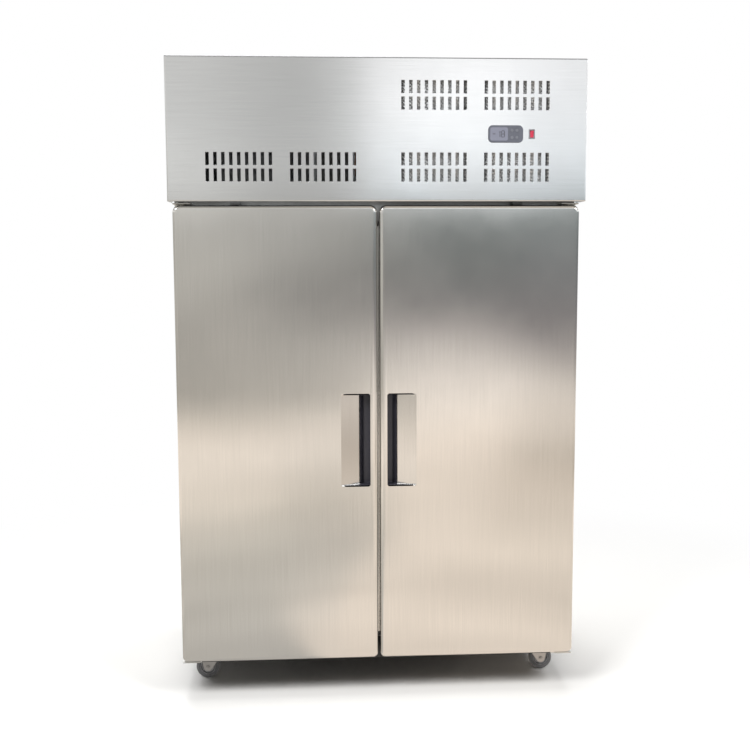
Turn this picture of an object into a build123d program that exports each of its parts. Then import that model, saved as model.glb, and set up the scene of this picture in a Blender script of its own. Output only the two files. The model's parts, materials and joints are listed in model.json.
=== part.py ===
from build123d import *
import os
from math import cos, pi, radians, sin, sqrt, tan

# Two-door blast freezer cabinet, in millimetres. The front faces -Y and +Z is up. The origin
# is on the floor, under the middle of the whole cabinet.

# Outside of the cabinet
cabinet_width = 1200
fascia_overhang = 10  # fascia past each side panel
overall_depth = 760  # fascia face to back panel
castor_height = 95  # floor to underside of the base pan
door_drop = 25  # underside of the base pan to the bottom of the doors
door_height = 1376
fascia_gap = 10  # top of the doors to the fascia
fascia_height = 409
fascia_step = 30  # fascia face in front of the door faces
control_proud = 4  # tip of the power rocker in front of the fascia face
door_thickness = 58
gasket_gap = 10  # back of a door to the front frame
centre_gap = 7  # between the two doors
door_overlap = 60  # how far a door laps over the frame round the storage space

# Sheet metal and insulation
sheet = 1.2
fold_allowance = 2 * sheet  # room for the folded corners of a neighbouring sheet
liner_sheet = 1.0
side_wall = 60
back_wall = 60
top_wall = 75
rear_flange = 25
breaker_width = 16
breaker_depth = 12
cove_radius = 14
mullion_width = 90
mullion_depth = 60
cover_flange = 20
grille_slot_width = 12
grille_slot_height = 240
grille_slot_pitch = 70
grille_column_count = 14

# Doors
door_top_corner = 20
door_bottom_corner = 15
door_front_fillet = 10
door_lip = 14  # skin folded in behind the door
plug_inset = 48  # raised middle of the door liner, from the door's edge
plug_rise = 8
gasket_width = 20
gasket_base = 2.5
gasket_neck = 4
gasket_magnet_inset = 1
gasket_neck_inset = 4
gasket_clearance = 0.3

# Door pulls: a scoop behind a window in the skin, deepest beside the door's free edge
pull_inset = 22
pull_width = 88
pull_height = 283
pull_bottom = 535.5  # above the bottom of the door
pull_corner = 6
ramp_width = 60
ramp_depth = 24
trough_start = 68
trough_depth = 38
pull_undercut = 9
scoop_flange = 10
scoop_bends = (10, 8, 8)
core_step_count = 2  # straight steps round each inside corner of a door

# Hinges
hinge_inset = 20  # pin to the door's outer edge
pin_radius = 5
pin_reach = 20  # pin inside the door
bracket_width = 52
bracket_sheet = 4
bracket_leg = 36
bracket_nose = 16  # bracket in front of the pin
hinge_gap = 3  # bracket to door
bush_width = 18
bush_flange_width = 24
fit = 0.05
clearance = 0.3

# Fascia: louvres, controls and the pivots on which it lifts
fascia_return = 120
fascia_bottom_return = 30
pivot_drop = 8  # pivot below the top of the fascia
pivot_inset = 10  # pivot in front of the rear edge of the side returns
pivot_notch = 8  # top of the fascia cut away over the edges of the side panels
cover_gap = 2  # top cover behind the top of the lifted fascia
stud_radius = 4
slot_width = 10
slot_height = 37
slot_pitch = 22.6
slot_column_count = 9
slot_row_pitch = 46.5
inner_louvre_x = 161
outer_louvre_x = 403
lower_louvre_rise = 98  # above the bottom of the fascia
upper_louvre_rise = 303
control_rise = 193
display_x = 370
display_width = 103
display_height = 50
display_corner = 13
display_rim = 6
display_depth = 42
lens_proud = 2.5
switch_x = 447
switch_width = 18
switch_height = 28
switch_rim = 2.5
switch_bezel = 1.5
switch_depth = 26
rocker_tilt = 10
rocker_pivot_depth = 2

# Door switches
door_switch_x = 418
door_switch_width = 30
door_switch_height = 8
door_switch_reach = 46

# Shelves and their supports
shelf_count = 3
shelf_first = 215  # lowest shelf above the floor of the storage space
shelf_pitch = 305
shelf_thickness = 6
shelf_rod = 8
shelf_wire = 4
shelf_gap_count = 8
shelf_side_gap = 2
shelf_middle = 20  # inner edge of a shelf from the middle of the cabinet
shelf_front_gap = 18  # front edge of the shelves to the strip on the mullion
shelf_back_gap = 26
pilaster_width = 24
pilaster_depth = 8
pilaster_foot = 60
pilaster_height = 900
pilaster_setback = 70
clip_lap = 10
clip_height = 7

# Evaporator
evaporator_width = 720
evaporator_depth = 350
evaporator_height = 230
evaporator_back_gap = 32
evaporator_coil_front = 80  # fan panel to coil
evaporator_coil_back = 60  # coil to the back of the drip tray
evaporator_fan_x = 170
evaporator_fan_radius = 104
fan_tip_gap = 6
drain_width = 30
drain_thickness = 12
drain_wall = 1.5
drain_set = 24  # drain duct behind the liner
drain_tail = 8  # drain duct below the base pan
drain_lap = 44  # drain duct under the drip tray
drain_hole = 16

# Condensing unit on the deck
unit_width = 540
unit_wall_gap = 40  # side panel to the tray
unit_front_gap = 26
unit_depth = 560
unit_tray_sheet = 2
unit_tray_lip = 14
unit_side_gap = 12
coil_setback = 10  # coil behind the front lip of the tray
coil_depth = 44
coil_height = 350
coil_fin_count = 14
fin_gap_depth = 6
end_plate = 3
header_strip = 30  # strip of the coil beside the shroud, where its tubes come out
shroud_depth = 60
condenser_fan_radius = 140
pedestal_width = 30
pedestal_depth = 20
compressor_inset = 120  # from the right side of the tray
compressor_setback = 404  # from the front of the tray
compressor_radius = 88
compressor_height = 205
compressor_side_count = 24
shoulder_height = 52
shoulder_angle = 27
compressor_foot = 18
compressor_plate = 3
compressor_plate_length = 176
compressor_plate_width = 140
foot_spacing_x = 150
foot_spacing_y = 114
valve_size = 24
tube_radius = 5
tube_rise = 48
sleeve_radius = 12
sleeve_rise = 90  # suction line above the deck
sleeve_x = -40
sleeve_hole = 26
liquid_setback = 294  # liquid line behind the front of the tray
drier_radius = 11
drier_length = 90
box_width = 190
box_height = 150
box_depth = 70
box_bevel = 9
box_inset = 220  # middle of the box from the left side panel
box_front_gap = 40  # behind the front frame

# Fans
motor_width = 60
motor_length = 42
shaft_radius = 4
shaft_reach = 30
hub_radius = 22
hub_length = 20
hub_side_count = 16
ring_side_count = 28  # of the round openings for the fans
blade_count = 5
blade_root = 15  # where a blade starts, inside the hub
blade_root_chord = 44
blade_tip_chord = 66
blade_sheet = 1.6
blade_pitch = 32

# Castors: the front pair swivels, the rear pair is rigid
castor_inset = 82  # kingpin from the side of the cabinet
castor_front_inset = 122  # kingpin behind the front frame
castor_rear_inset = 90
castor_plate = 80
castor_plate_sheet = 3
race_width = 40
kingpin_radius = 5
kingpin_nut_width = 16
kingpin_nut = 3
crown_sheet = 3
crown_width = 46
castor_trail = 22
wheel_radius = 37.5
wheel_width = 28
wheel_side_count = 24
wheel_side_gap = 2
wheel_top_gap = 4
leg_sheet = 3
leg_tip = 12
axle_radius = 4

# Heights above the floor
base = castor_height
door_bottom = base + door_drop
door_top = door_bottom + door_height
fascia_bottom = door_top + fascia_gap
top = fascia_bottom + fascia_height
cavity_floor = door_bottom + door_overlap
cavity_ceiling = door_top - door_overlap
deck_top = cavity_ceiling + top_wall

# Depths, from the fascia face to the back
front = control_proud - (overall_depth + control_proud) / 2
rear = front + overall_depth
door_front = front + fascia_step
door_back = door_front + door_thickness
frame_front = door_back + gasket_gap
liner_front = frame_front + breaker_depth
cavity_back = rear - back_wall
unit_front = frame_front + unit_front_gap
compressor_y = unit_front + compressor_setback

# Half widths
half = cabinet_width / 2
fascia_half = half + fascia_overhang
cavity_half = half - side_wall
frame_flange = side_wall - breaker_width
flange_inner = half - frame_flange
unit_right = half - unit_wall_gap
unit_left = unit_right - unit_width
castor_x = half - castor_inset


os.makedirs("parts", exist_ok=True)


def save(piece, name):
    """Label a finished piece and write it."""
    piece.part.label = name
    export_step(piece.part, f"parts/{name}.step")


def block(x, y, z, mode=Mode.ADD):
    """Straight block between two x, two y and two z values."""
    with BuildSketch(Plane.XY.offset(z[0])) as outline:
        with Locations(((x[0] + x[1]) / 2, (y[0] + y[1]) / 2)):
            Rectangle(x[1] - x[0], y[1] - y[0])
    extrude(outline.sketch, amount=z[1] - z[0], mode=mode)


def folded(plane, points, side, length, thickness=sheet):
    """Sheet folded along its outer line, thickened to one side and run on by a length."""
    with BuildSketch(plane) as section:
        with BuildLine():
            Polyline(*points)
            offset(amount=thickness, side=side, kind=Kind.INTERSECTION)
        make_face()
    extrude(section.sketch, amount=length)


def rod(plane, radius, length, mode=Mode.ADD):
    """Round bar or round hole from a plane along its normal."""
    with BuildSketch(plane) as section:
        Circle(radius)
    extrude(section.sketch, amount=length, mode=mode)


def mirrored(left_piece, name):
    """The same piece for the other side of the cabinet."""
    with BuildPart() as right_piece:
        mirror(left_piece.part, about=Plane.YZ)
    save(right_piece, name)


def front_plane(y, x=0, z=0):
    """Plane facing the front at a depth, with x to the right and z up."""
    return Plane((x, y, z), x_dir=(1, 0, 0), z_dir=(0, -1, 0))


# Side panels: one sheet each, folded in at the front frame and at the back.
with BuildPart() as side_panel_left:
    folded(
        Plane.XY.offset(base),
        [(-flange_inner, frame_front), (-half, frame_front), (-half, rear), (rear_flange - half, rear)],
        Side.RIGHT,
        top - fold_allowance - base,
    )
save(side_panel_left, "side_panel_left")
mirrored(side_panel_left, "side_panel_right")

# Back panel behind the insulation, held inside the rear flanges.
panel_half = half - fold_allowance
with BuildPart() as back_panel:
    block((-panel_half, panel_half), (rear - 2 * sheet, rear - sheet), (base, deck_top))
save(back_panel, "back_panel")

# Drain duct: flat moulded duct from the drip tray into the back wall and out below.
tray_rear = cavity_back - evaporator_back_gap
evaporator_floor = cavity_ceiling - evaporator_height
drain_back = cavity_back + drain_set + drain_thickness


def drain_duct_shape(shrink, mode=Mode.ADD):
    """Drain duct drawn solid, its outside shrunk by a wall."""
    width = (shrink - drain_width / 2, drain_width / 2 - shrink)
    lower = evaporator_floor - drain_thickness
    start = tray_rear - drain_lap + shrink
    block(width, (start, drain_back - shrink), (lower + shrink, evaporator_floor - shrink), mode)
    block(
        width,
        (drain_back - drain_thickness + shrink, drain_back - shrink),
        (base - drain_tail, evaporator_floor - shrink),
        mode,
    )


def drain_inlet():
    """Square hole from the drip tray into the drain duct."""
    middle = tray_rear - drain_lap / 2
    block(
        (-drain_hole / 2, drain_hole / 2),
        (middle - drain_hole / 2, middle + drain_hole / 2),
        (evaporator_floor - drain_wall, evaporator_floor + liner_sheet),
        Mode.SUBTRACT,
    )


def suction_hole(low, high):
    """Square hole for the lagged suction line."""
    block(
        (sleeve_x - sleeve_hole / 2, sleeve_x + sleeve_hole / 2),
        (compressor_y - sleeve_hole / 2, compressor_y + sleeve_hole / 2),
        (low, high),
        Mode.SUBTRACT,
    )


with BuildPart() as drain_duct:
    drain_duct_shape(0)
    drain_duct_shape(drain_wall, Mode.SUBTRACT)
    drain_inlet()
save(drain_duct, "drain_duct")

# Base pan: floor sheet of the carcass, folded up at the front as the lower frame rail.
with BuildPart() as base_pan:
    folded(
        Plane.YZ.offset(-flange_inner),
        [(frame_front, cavity_floor - breaker_width), (frame_front, base), (rear - 2 * sheet, base)],
        Side.LEFT,
        2 * flange_inner,
    )
    block(
        (-half + sheet, half - sheet),
        (frame_front + fold_allowance, rear - 2 * sheet),
        (base, base + sheet),
    )
    drain_duct_shape(0, Mode.SUBTRACT)
save(base_pan, "base_pan")

# Machine deck: top sheet of the insulated box, folded down at the front as the upper frame rail.
with BuildPart() as machine_deck:
    folded(
        Plane.YZ.offset(-flange_inner),
        [
            (frame_front, cavity_ceiling + breaker_width),
            (frame_front, deck_top),
            (rear - 2 * sheet, deck_top),
        ],
        Side.RIGHT,
        2 * flange_inner,
    )
    block(
        (-half + sheet, half - sheet),
        (frame_front + fold_allowance, rear - 2 * sheet),
        (deck_top - sheet, deck_top),
    )
    suction_hole(deck_top - sheet, deck_top)
save(machine_deck, "machine_deck")


def liner_section(grow, plane):
    """Plan of the storage space, open at the front, with coved rear corners."""
    with BuildSketch(plane) as section:
        with BuildLine():
            FilletPolyline(
                (-cavity_half - grow, liner_front),
                (-cavity_half - grow, cavity_back + grow),
                (cavity_half + grow, cavity_back + grow),
                (cavity_half + grow, liner_front),
                radius=cove_radius + grow,
            )
            Line((cavity_half + grow, liner_front), (-cavity_half - grow, liner_front))
        make_face()
    return section.sketch


# Insulation: foamed in place between the outer sheets and the liner.
with BuildPart() as insulation_foam:
    block(
        (-half + sheet, half - sheet),
        (frame_front + fold_allowance, rear - 2 * sheet),
        (base + sheet, deck_top - sheet),
    )
    block(
        (-flange_inner, flange_inner),
        (frame_front + fold_allowance, liner_front),
        (cavity_floor - breaker_width, cavity_ceiling + breaker_width),
        Mode.SUBTRACT,
    )
    extrude(
        liner_section(liner_sheet, Plane.XY.offset(cavity_floor - liner_sheet)),
        amount=cavity_ceiling - cavity_floor + 2 * liner_sheet,
        mode=Mode.SUBTRACT,
    )
    drain_duct_shape(0, Mode.SUBTRACT)
    suction_hole(cavity_ceiling, deck_top)
save(insulation_foam, "insulation_foam")

# Liner: one sheet round the back and the sides, with a floor sheet and a ceiling sheet.
with BuildPart() as liner_walls:
    extrude(
        liner_section(liner_sheet, Plane.XY.offset(cavity_floor)), amount=cavity_ceiling - cavity_floor
    )
    extrude(
        liner_section(0, Plane.XY.offset(cavity_floor)),
        amount=cavity_ceiling - cavity_floor,
        mode=Mode.SUBTRACT,
    )
    drain_duct_shape(0, Mode.SUBTRACT)
save(liner_walls, "liner_walls")

with BuildPart() as liner_floor:
    extrude(liner_section(liner_sheet, Plane.XY.offset(cavity_floor - liner_sheet)), amount=liner_sheet)
save(liner_floor, "liner_floor")

with BuildPart() as liner_ceiling:
    extrude(liner_section(liner_sheet, Plane.XY.offset(cavity_ceiling)), amount=liner_sheet)
    suction_hole(cavity_ceiling, cavity_ceiling + liner_sheet)
save(liner_ceiling, "liner_ceiling")

# Breaker strips: plastic bars between the steel frame and the liner, which stop the cold.
with BuildPart() as breaker_strips:
    for low, high in (
        (cavity_floor - breaker_width, cavity_floor),
        (cavity_ceiling, cavity_ceiling + breaker_width),
    ):
        block((-flange_inner, flange_inner), (frame_front, liner_front), (low, high))
    for low, high in ((-flange_inner, -cavity_half), (cavity_half, flange_inner)):
        block((low, high), (frame_front, liner_front), (cavity_floor, cavity_ceiling))
save(breaker_strips, "breaker_strips")

# Centre mullion: folded channel that both doors close against.
with BuildPart() as centre_mullion:
    folded(
        Plane.XY.offset(cavity_floor),
        [
            (-mullion_width / 2, frame_front + mullion_depth),
            (-mullion_width / 2, frame_front),
            (mullion_width / 2, frame_front),
            (mullion_width / 2, frame_front + mullion_depth),
        ],
        Side.LEFT,
        cavity_ceiling - cavity_floor,
    )
save(centre_mullion, "centre_mullion")

# Top cover: a lid over the machine space, folded down outside the side panels.
pivot_y = front + fascia_return - pivot_inset
pivot_z = top - pivot_drop
cover_front = pivot_y + pivot_drop + cover_gap
with BuildPart() as top_cover:
    folded(
        Plane((0, rear, 0), x_dir=(1, 0, 0), z_dir=(0, -1, 0)),
        [
            (-half - sheet, top - cover_flange),
            (-half - sheet, top),
            (half + sheet, top),
            (half + sheet, top - cover_flange),
        ],
        Side.RIGHT,
        rear - cover_front,
    )
save(top_cover, "top_cover")

# Rear grille: closes the machine space at the back, with rows of air slots.
with BuildPart() as rear_grille:
    block((-panel_half, panel_half), (rear - 2 * sheet, rear - sheet), (deck_top, top - sheet))
    with BuildSketch(front_plane(rear - sheet, z=(deck_top + top) / 2)) as air_slots:
        with GridLocations(grille_slot_pitch, 0, grille_column_count, 1):
            Rectangle(grille_slot_width, grille_slot_height)
    extrude(amount=sheet, mode=Mode.SUBTRACT)
save(rear_grille, "rear_grille")

# Hinge brackets: four folded plates, screwed to the front frame above and below the doors.
pin_x = half - hinge_inset
pin_y = (door_front + door_back) / 2
top_plate = door_top + hinge_gap
bottom_plate = door_bottom - hinge_gap
with BuildPart() as hinge_brackets:
    folded(
        Plane.YZ.offset(-half),
        [
            (pin_y - bracket_nose, top_plate),
            (frame_front, top_plate),
            (frame_front, top_plate + bracket_leg),
        ],
        Side.LEFT,
        bracket_width,
        bracket_sheet,
    )
    folded(
        Plane.YZ.offset(-half),
        [(pin_y - bracket_nose, bottom_plate), (frame_front, bottom_plate), (frame_front, base)],
        Side.RIGHT,
        bracket_width,
        bracket_sheet,
    )
    mirror(about=Plane.YZ)
save(hinge_brackets, "hinge_brackets")

# Hinge pins: welded to the brackets, pointing up into the doors below and down above.
with BuildPart() as hinge_pins:
    for x in (-pin_x, pin_x):
        rod(Plane((x, pin_y, top_plate), z_dir=(0, 0, -1)), pin_radius, hinge_gap + pin_reach)
        rod(Plane((x, pin_y, bottom_plate)), pin_radius, hinge_gap + pin_reach)
save(hinge_pins, "hinge_pins")

# Door switches: small sealed housings on the upper frame rail, just above the doors.
with BuildPart() as door_switches:
    for x in (-door_switch_x, door_switch_x):
        block(
            (x - door_switch_width / 2, x + door_switch_width / 2),
            (frame_front - door_switch_reach, frame_front),
            (
                door_top + (fascia_gap - door_switch_height) / 2,
                door_top + (fascia_gap + door_switch_height) / 2,
            ),
        )
save(door_switches, "door_switches")

# Shelves: a wire grid in a rod frame, three in each bay, resting on clips.
mullion_back = frame_front + mullion_depth
shelf_back = cavity_back - shelf_back_gap
shelf_front = mullion_back + pilaster_depth + shelf_front_gap
shelf_depth = shelf_back - shelf_front
shelf_levels = [shelf_first + shelf_pitch * step for step in range(shelf_count)]
shelf_outer = cavity_half - pilaster_depth - shelf_side_gap
shelf_width = shelf_outer - shelf_middle
shelf_centre_x = -(shelf_outer + shelf_middle) / 2
shelf_gap = (shelf_width - 2 * shelf_rod - (shelf_gap_count - 1) * shelf_wire) / shelf_gap_count
with BuildPart() as shelves_left:
    for level in shelf_levels:
        with BuildSketch(Plane((shelf_centre_x, (shelf_front + shelf_back) / 2, cavity_floor + level))):
            Rectangle(shelf_width, shelf_depth)
            with GridLocations(shelf_gap + shelf_wire, 0, shelf_gap_count, 1):
                Rectangle(shelf_gap, shelf_depth - 2 * shelf_rod, mode=Mode.SUBTRACT)
        extrude(amount=shelf_thickness)
save(shelves_left, "shelves_left")
mirrored(shelves_left, "shelves_right")

# Pilasters: slotted strips on the side walls, on the mullion and on the back wall.
pilaster_z = (cavity_floor + pilaster_foot, cavity_floor + pilaster_foot + pilaster_height)
wall_face = cavity_half - pilaster_depth
pilaster_strips = [
    (y - pilaster_width / 2, y + pilaster_width / 2)
    for y in (shelf_front + pilaster_setback, shelf_back - pilaster_setback)
]
with BuildPart() as shelf_pilasters:
    for strip in pilaster_strips:
        block((-cavity_half, -wall_face), strip, pilaster_z)
    mirror(about=Plane.YZ)
    post = (-pilaster_width / 2, pilaster_width / 2)
    block(post, (mullion_back, mullion_back + pilaster_depth), pilaster_z)
    block(post, (cavity_back - pilaster_depth, cavity_back), pilaster_z)
save(shelf_pilasters, "shelf_pilasters")

# Shelf clips: hooked into the pilasters, under the edges of the shelves.
with BuildPart() as shelf_clips:
    middle_clip = (-shelf_middle - clip_lap, shelf_middle + clip_lap)
    for level in shelf_levels:
        clip_z = (cavity_floor + level - clip_height, cavity_floor + level)
        for strip in pilaster_strips:
            block((-wall_face, clip_lap - shelf_outer), strip, clip_z)
            block((shelf_outer - clip_lap, wall_face), strip, clip_z)
        block(middle_clip, (mullion_back + pilaster_depth, shelf_front + clip_lap), clip_z)
        block(middle_clip, (shelf_back - clip_lap, cavity_back - pilaster_depth), clip_z)
save(shelf_clips, "shelf_clips")


def fin_pack(x, y, z):
    """Finned coil block between two end plates, with air gaps cut into its front."""
    block(x, y, z)
    pitch = (x[1] - x[0] - 2 * end_plate) / coil_fin_count
    with BuildSketch(front_plane(y[0] + fin_gap_depth, (x[0] + x[1]) / 2, (z[0] + z[1]) / 2)) as gaps:
        with GridLocations(pitch, 0, coil_fin_count, 1):
            Rectangle(pitch / 2, z[1] - z[0] - 2 * end_plate)
    extrude(gaps.sketch, amount=fin_gap_depth, mode=Mode.SUBTRACT)


def fan_motor(x, y, z):
    """Square motor with its back at y and its shaft towards the front."""
    with BuildSketch(front_plane(y, x, z)) as stack:
        Rectangle(motor_width, motor_width)
    extrude(stack.sketch, amount=motor_length)
    rod(front_plane(y - motor_length, x, z), shaft_radius, shaft_reach)


def fan_rotor(x, y, z, radius):
    """Rotor of pitched sheet blades, its hub on the shaft of a motor with its back at y."""
    hub_back = y - motor_length - shaft_reach + hub_length
    with BuildSketch(front_plane(hub_back, x, z)) as hub:
        RegularPolygon(hub_radius, hub_side_count)
    extrude(hub.sketch, amount=hub_length)
    pitch = radians(blade_pitch)
    tip_reach = sqrt(radius**2 - (blade_tip_chord / 2 * cos(pitch) + blade_sheet) ** 2)
    for number in range(blade_count):
        turn = 2 * pi * number / blade_count
        blade = Plane(
            (x, hub_back - hub_length / 2, z),
            x_dir=(cos(turn), 0, sin(turn)),
            z_dir=(sin(pitch) * sin(turn), -cos(pitch), -sin(pitch) * cos(turn)),
        )
        with BuildSketch(blade) as outline:
            with BuildLine():
                Polyline(
                    (blade_root, -blade_root_chord / 2),
                    (tip_reach, -blade_tip_chord / 2),
                    (tip_reach, blade_tip_chord / 2),
                    (blade_root, blade_root_chord / 2),
                    close=True,
                )
            make_face()
        extrude(outline.sketch, amount=blade_sheet / 2, both=True)
    rod(front_plane(hub_back, x, z), shaft_radius + fit, hub_length, Mode.SUBTRACT)


def fan_opening(plane, radius):
    """Opening for a fan in a sheet, a little wider than its blades."""
    with BuildSketch(plane) as ring:
        RegularPolygon(radius + fan_tip_gap, ring_side_count, major_radius=False)
    extrude(ring.sketch, amount=liner_sheet + sheet, both=True, mode=Mode.SUBTRACT)


# Evaporator under the ceiling: finned coil, housing with drip tray, and two fans.
evaporator_front = tray_rear - evaporator_depth
evaporator_middle = cavity_ceiling - evaporator_height / 2
evaporator_half = evaporator_width / 2
evaporator_coil_y = evaporator_front + evaporator_coil_front
with BuildPart() as evaporator_housing:
    block(
        (-evaporator_half, evaporator_half), (evaporator_front, tray_rear), (evaporator_floor, cavity_ceiling)
    )
    offset(
        amount=-liner_sheet, openings=[faces().sort_by(Axis.Z)[-1], faces().sort_by(Axis.Y)[-1]]
    )
    for x in (-evaporator_fan_x, evaporator_fan_x):
        fan_opening(front_plane(evaporator_front, x, evaporator_middle), evaporator_fan_radius)
    drain_inlet()
save(evaporator_housing, "evaporator_housing")

with BuildPart() as evaporator_coil:
    fin_pack(
        (liner_sheet - evaporator_half, evaporator_half - liner_sheet),
        (evaporator_coil_y, tray_rear - evaporator_coil_back),
        (evaporator_floor + liner_sheet, cavity_ceiling - clearance),
    )
save(evaporator_coil, "evaporator_coil")

for side, x in (("left", -evaporator_fan_x), ("right", evaporator_fan_x)):
    with BuildPart() as evaporator_fan:
        fan_rotor(x, evaporator_coil_y, evaporator_middle, evaporator_fan_radius)
    save(evaporator_fan, f"evaporator_fan_{side}")

# Condensing unit on the deck: tray, coil, shroud and fan, then the compressor.
tray_floor = deck_top + unit_tray_sheet
unit_middle = (unit_left + unit_right) / 2
with BuildPart() as unit_base:
    block(
        (unit_left, unit_right),
        (unit_front, unit_front + unit_depth),
        (deck_top, deck_top + unit_tray_lip),
    )
    offset(amount=-unit_tray_sheet, openings=faces().sort_by(Axis.Z)[-1])
save(unit_base, "unit_base")

coil_x = (unit_left + unit_side_gap, unit_right - unit_side_gap)
coil_front = unit_front + coil_setback
coil_back = coil_front + coil_depth
coil_z = (tray_floor, tray_floor + coil_height)
with BuildPart() as condenser_coil:
    fin_pack(coil_x, (coil_front, coil_back), coil_z)
save(condenser_coil, "condenser_coil")

shroud_x = (coil_x[0], coil_x[1] - header_strip)
shroud_back = coil_back + shroud_depth
fan_x = (shroud_x[0] + shroud_x[1]) / 2
fan_z = (coil_z[0] + coil_z[1]) / 2
with BuildPart() as condenser_shroud:
    block(shroud_x, (coil_back, shroud_back), coil_z)
    offset(amount=-sheet, openings=faces().sort_by(Axis.Y)[0])
    fan_opening(front_plane(shroud_back, fan_x, fan_z), condenser_fan_radius)
save(condenser_shroud, "condenser_shroud")

condenser_motor_y = shroud_back + hub_length / 2 + shaft_reach - hub_length + motor_length
with BuildPart() as condenser_fan:
    fan_rotor(fan_x, condenser_motor_y, fan_z, condenser_fan_radius)
save(condenser_fan, "condenser_fan")

with BuildPart() as fan_motors:
    for x in (-evaporator_fan_x, evaporator_fan_x):
        fan_motor(x, evaporator_coil_y, evaporator_middle)
    fan_motor(fan_x, condenser_motor_y, fan_z)
    block(
        (fan_x - pedestal_width / 2, fan_x + pedestal_width / 2),
        (condenser_motor_y - pedestal_depth, condenser_motor_y),
        (tray_floor, fan_z),
    )
save(fan_motors, "fan_motors")

compressor_x = unit_right - compressor_inset
compressor_base = tray_floor + compressor_foot
compressor_top = compressor_base + compressor_height
suction_z = deck_top + sleeve_rise
with BuildPart() as compressor:
    with BuildSketch(Plane((compressor_x, compressor_y, compressor_base))):
        RegularPolygon(compressor_radius, compressor_side_count)
    extrude(amount=compressor_height - shoulder_height)
    extrude(faces().sort_by(Axis.Z)[-1], amount=shoulder_height, taper=shoulder_angle)
    with BuildSketch(Plane((compressor_x, compressor_y, compressor_base))):
        Rectangle(compressor_plate_length, compressor_plate_width)
    extrude(amount=compressor_plate)
    with BuildSketch(Plane((compressor_x, compressor_y, tray_floor))):
        with GridLocations(foot_spacing_x, foot_spacing_y, 2, 2):
            Rectangle(compressor_foot, compressor_foot)
    extrude(amount=compressor_foot)
    with BuildSketch(Plane((compressor_x, compressor_y, suction_z), z_dir=(-1, 0, 0))):
        Rectangle(valve_size, valve_size)
    extrude(amount=compressor_radius + valve_size / 2)
save(compressor, "compressor")


def tube(points, radius=tube_radius):
    """Pipe of eight sides along straight runs with mitred corners."""
    with BuildLine() as route:
        Polyline(*points)
    with BuildSketch(Plane(points[0], z_dir=route.line % 0)) as section:
        RegularPolygon(radius, 8)
    sweep(section.sketch, path=route.line, transition=Transition.RIGHT)


# Copper pipes: discharge, liquid and suction lines, with the filter drier on the liquid line.
header_x = coil_x[1] - header_strip / 2
liquid_y = unit_front + liquid_setback
discharge_z = compressor_top + tube_rise
liquid_z = tray_floor + tube_rise
drier_z = liquid_z + tube_rise
suction_face = compressor_x - compressor_radius - valve_size / 2
with BuildPart() as copper_pipes:
    tube(
        [
            (compressor_x, compressor_y, compressor_top),
            (compressor_x, compressor_y, discharge_z),
            (header_x, compressor_y, discharge_z),
            (header_x, coil_back, discharge_z),
        ]
    )
    tube(
        [
            (header_x, coil_back, liquid_z),
            (header_x, liquid_y, liquid_z),
            (sleeve_x, liquid_y, liquid_z),
            (sleeve_x, liquid_y, drier_z + drier_length),
            (sleeve_x, compressor_y, drier_z + drier_length),
            (sleeve_x, compressor_y, suction_z),
        ]
    )
    with BuildSketch(Plane((sleeve_x, liquid_y, drier_z))):
        RegularPolygon(drier_radius, 8)
    extrude(amount=drier_length - tube_rise)
    tube(
        [
            (sleeve_x, compressor_y, cavity_ceiling - clearance),
            (sleeve_x, compressor_y, suction_z),
            (suction_face, compressor_y, suction_z),
        ],
        sleeve_radius,
    )
save(copper_pipes, "copper_pipes")

box_x = box_inset - half
box_y = frame_front + box_front_gap
with BuildPart() as electrical_box:
    block(
        (box_x - box_width / 2, box_x + box_width / 2),
        (box_y, box_y + box_depth),
        (deck_top, deck_top + box_height),
    )
    chamfer(edges().filter_by(Axis.X).group_by(Axis.Z)[-1], box_bevel)
save(electrical_box, "electrical_box")

# Front castors: plates with kingpins, forks that swivel on them, trailing sideways, and wheels.
race_bottom = 2 * wheel_radius + wheel_top_gap + crown_sheet + clearance
crown_bottom = race_bottom - clearance - crown_sheet
nut_top = crown_bottom - clearance
plate_bottom = base - castor_plate_sheet
castor_front_y = frame_front + castor_front_inset
castor_rear_y = rear - castor_rear_inset
with BuildPart() as castor_plates:
    for x in (-castor_x, castor_x):
        with BuildSketch(Plane((x, castor_front_y, plate_bottom))):
            Rectangle(castor_plate, castor_plate)
        extrude(amount=castor_plate_sheet)
        with BuildSketch(Plane((x, castor_front_y, race_bottom))):
            RegularPolygon(race_width / 2, 8)
        extrude(amount=plate_bottom - race_bottom)
        rod(Plane((x, castor_front_y, nut_top)), kingpin_radius, race_bottom - nut_top)
        with BuildSketch(Plane((x, castor_front_y, nut_top - kingpin_nut))):
            RegularPolygon(kingpin_nut_width / 2, 6)
        extrude(amount=kingpin_nut)
save(castor_plates, "castor_plates")

leg_face = wheel_width / 2 + wheel_side_gap


def castor_leg(plane, crown_left, crown_right, crown_height):
    """Tapered fork leg on a plane through its outer face, with the axle at the plane's origin."""
    with BuildSketch(plane) as outline:
        with BuildLine():
            Polyline(
                (crown_left, crown_height),
                (crown_right, crown_height),
                (leg_tip, -leg_tip / 2),
                (leg_tip / 2, -leg_tip),
                (-leg_tip / 2, -leg_tip),
                (-leg_tip, -leg_tip / 2),
                close=True,
            )
        make_face()
    extrude(outline.sketch, amount=-leg_sheet)


def wheel_disc(plane):
    """Wheel with a flat-sided rim on a plane through its face, bored for the axle."""
    with BuildSketch(plane) as rim:
        RegularPolygon(wheel_radius, wheel_side_count, major_radius=False, rotation=180 / wheel_side_count)
        Circle(axle_radius + fit, mode=Mode.SUBTRACT)
    extrude(rim.sketch, amount=-wheel_width)


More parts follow.
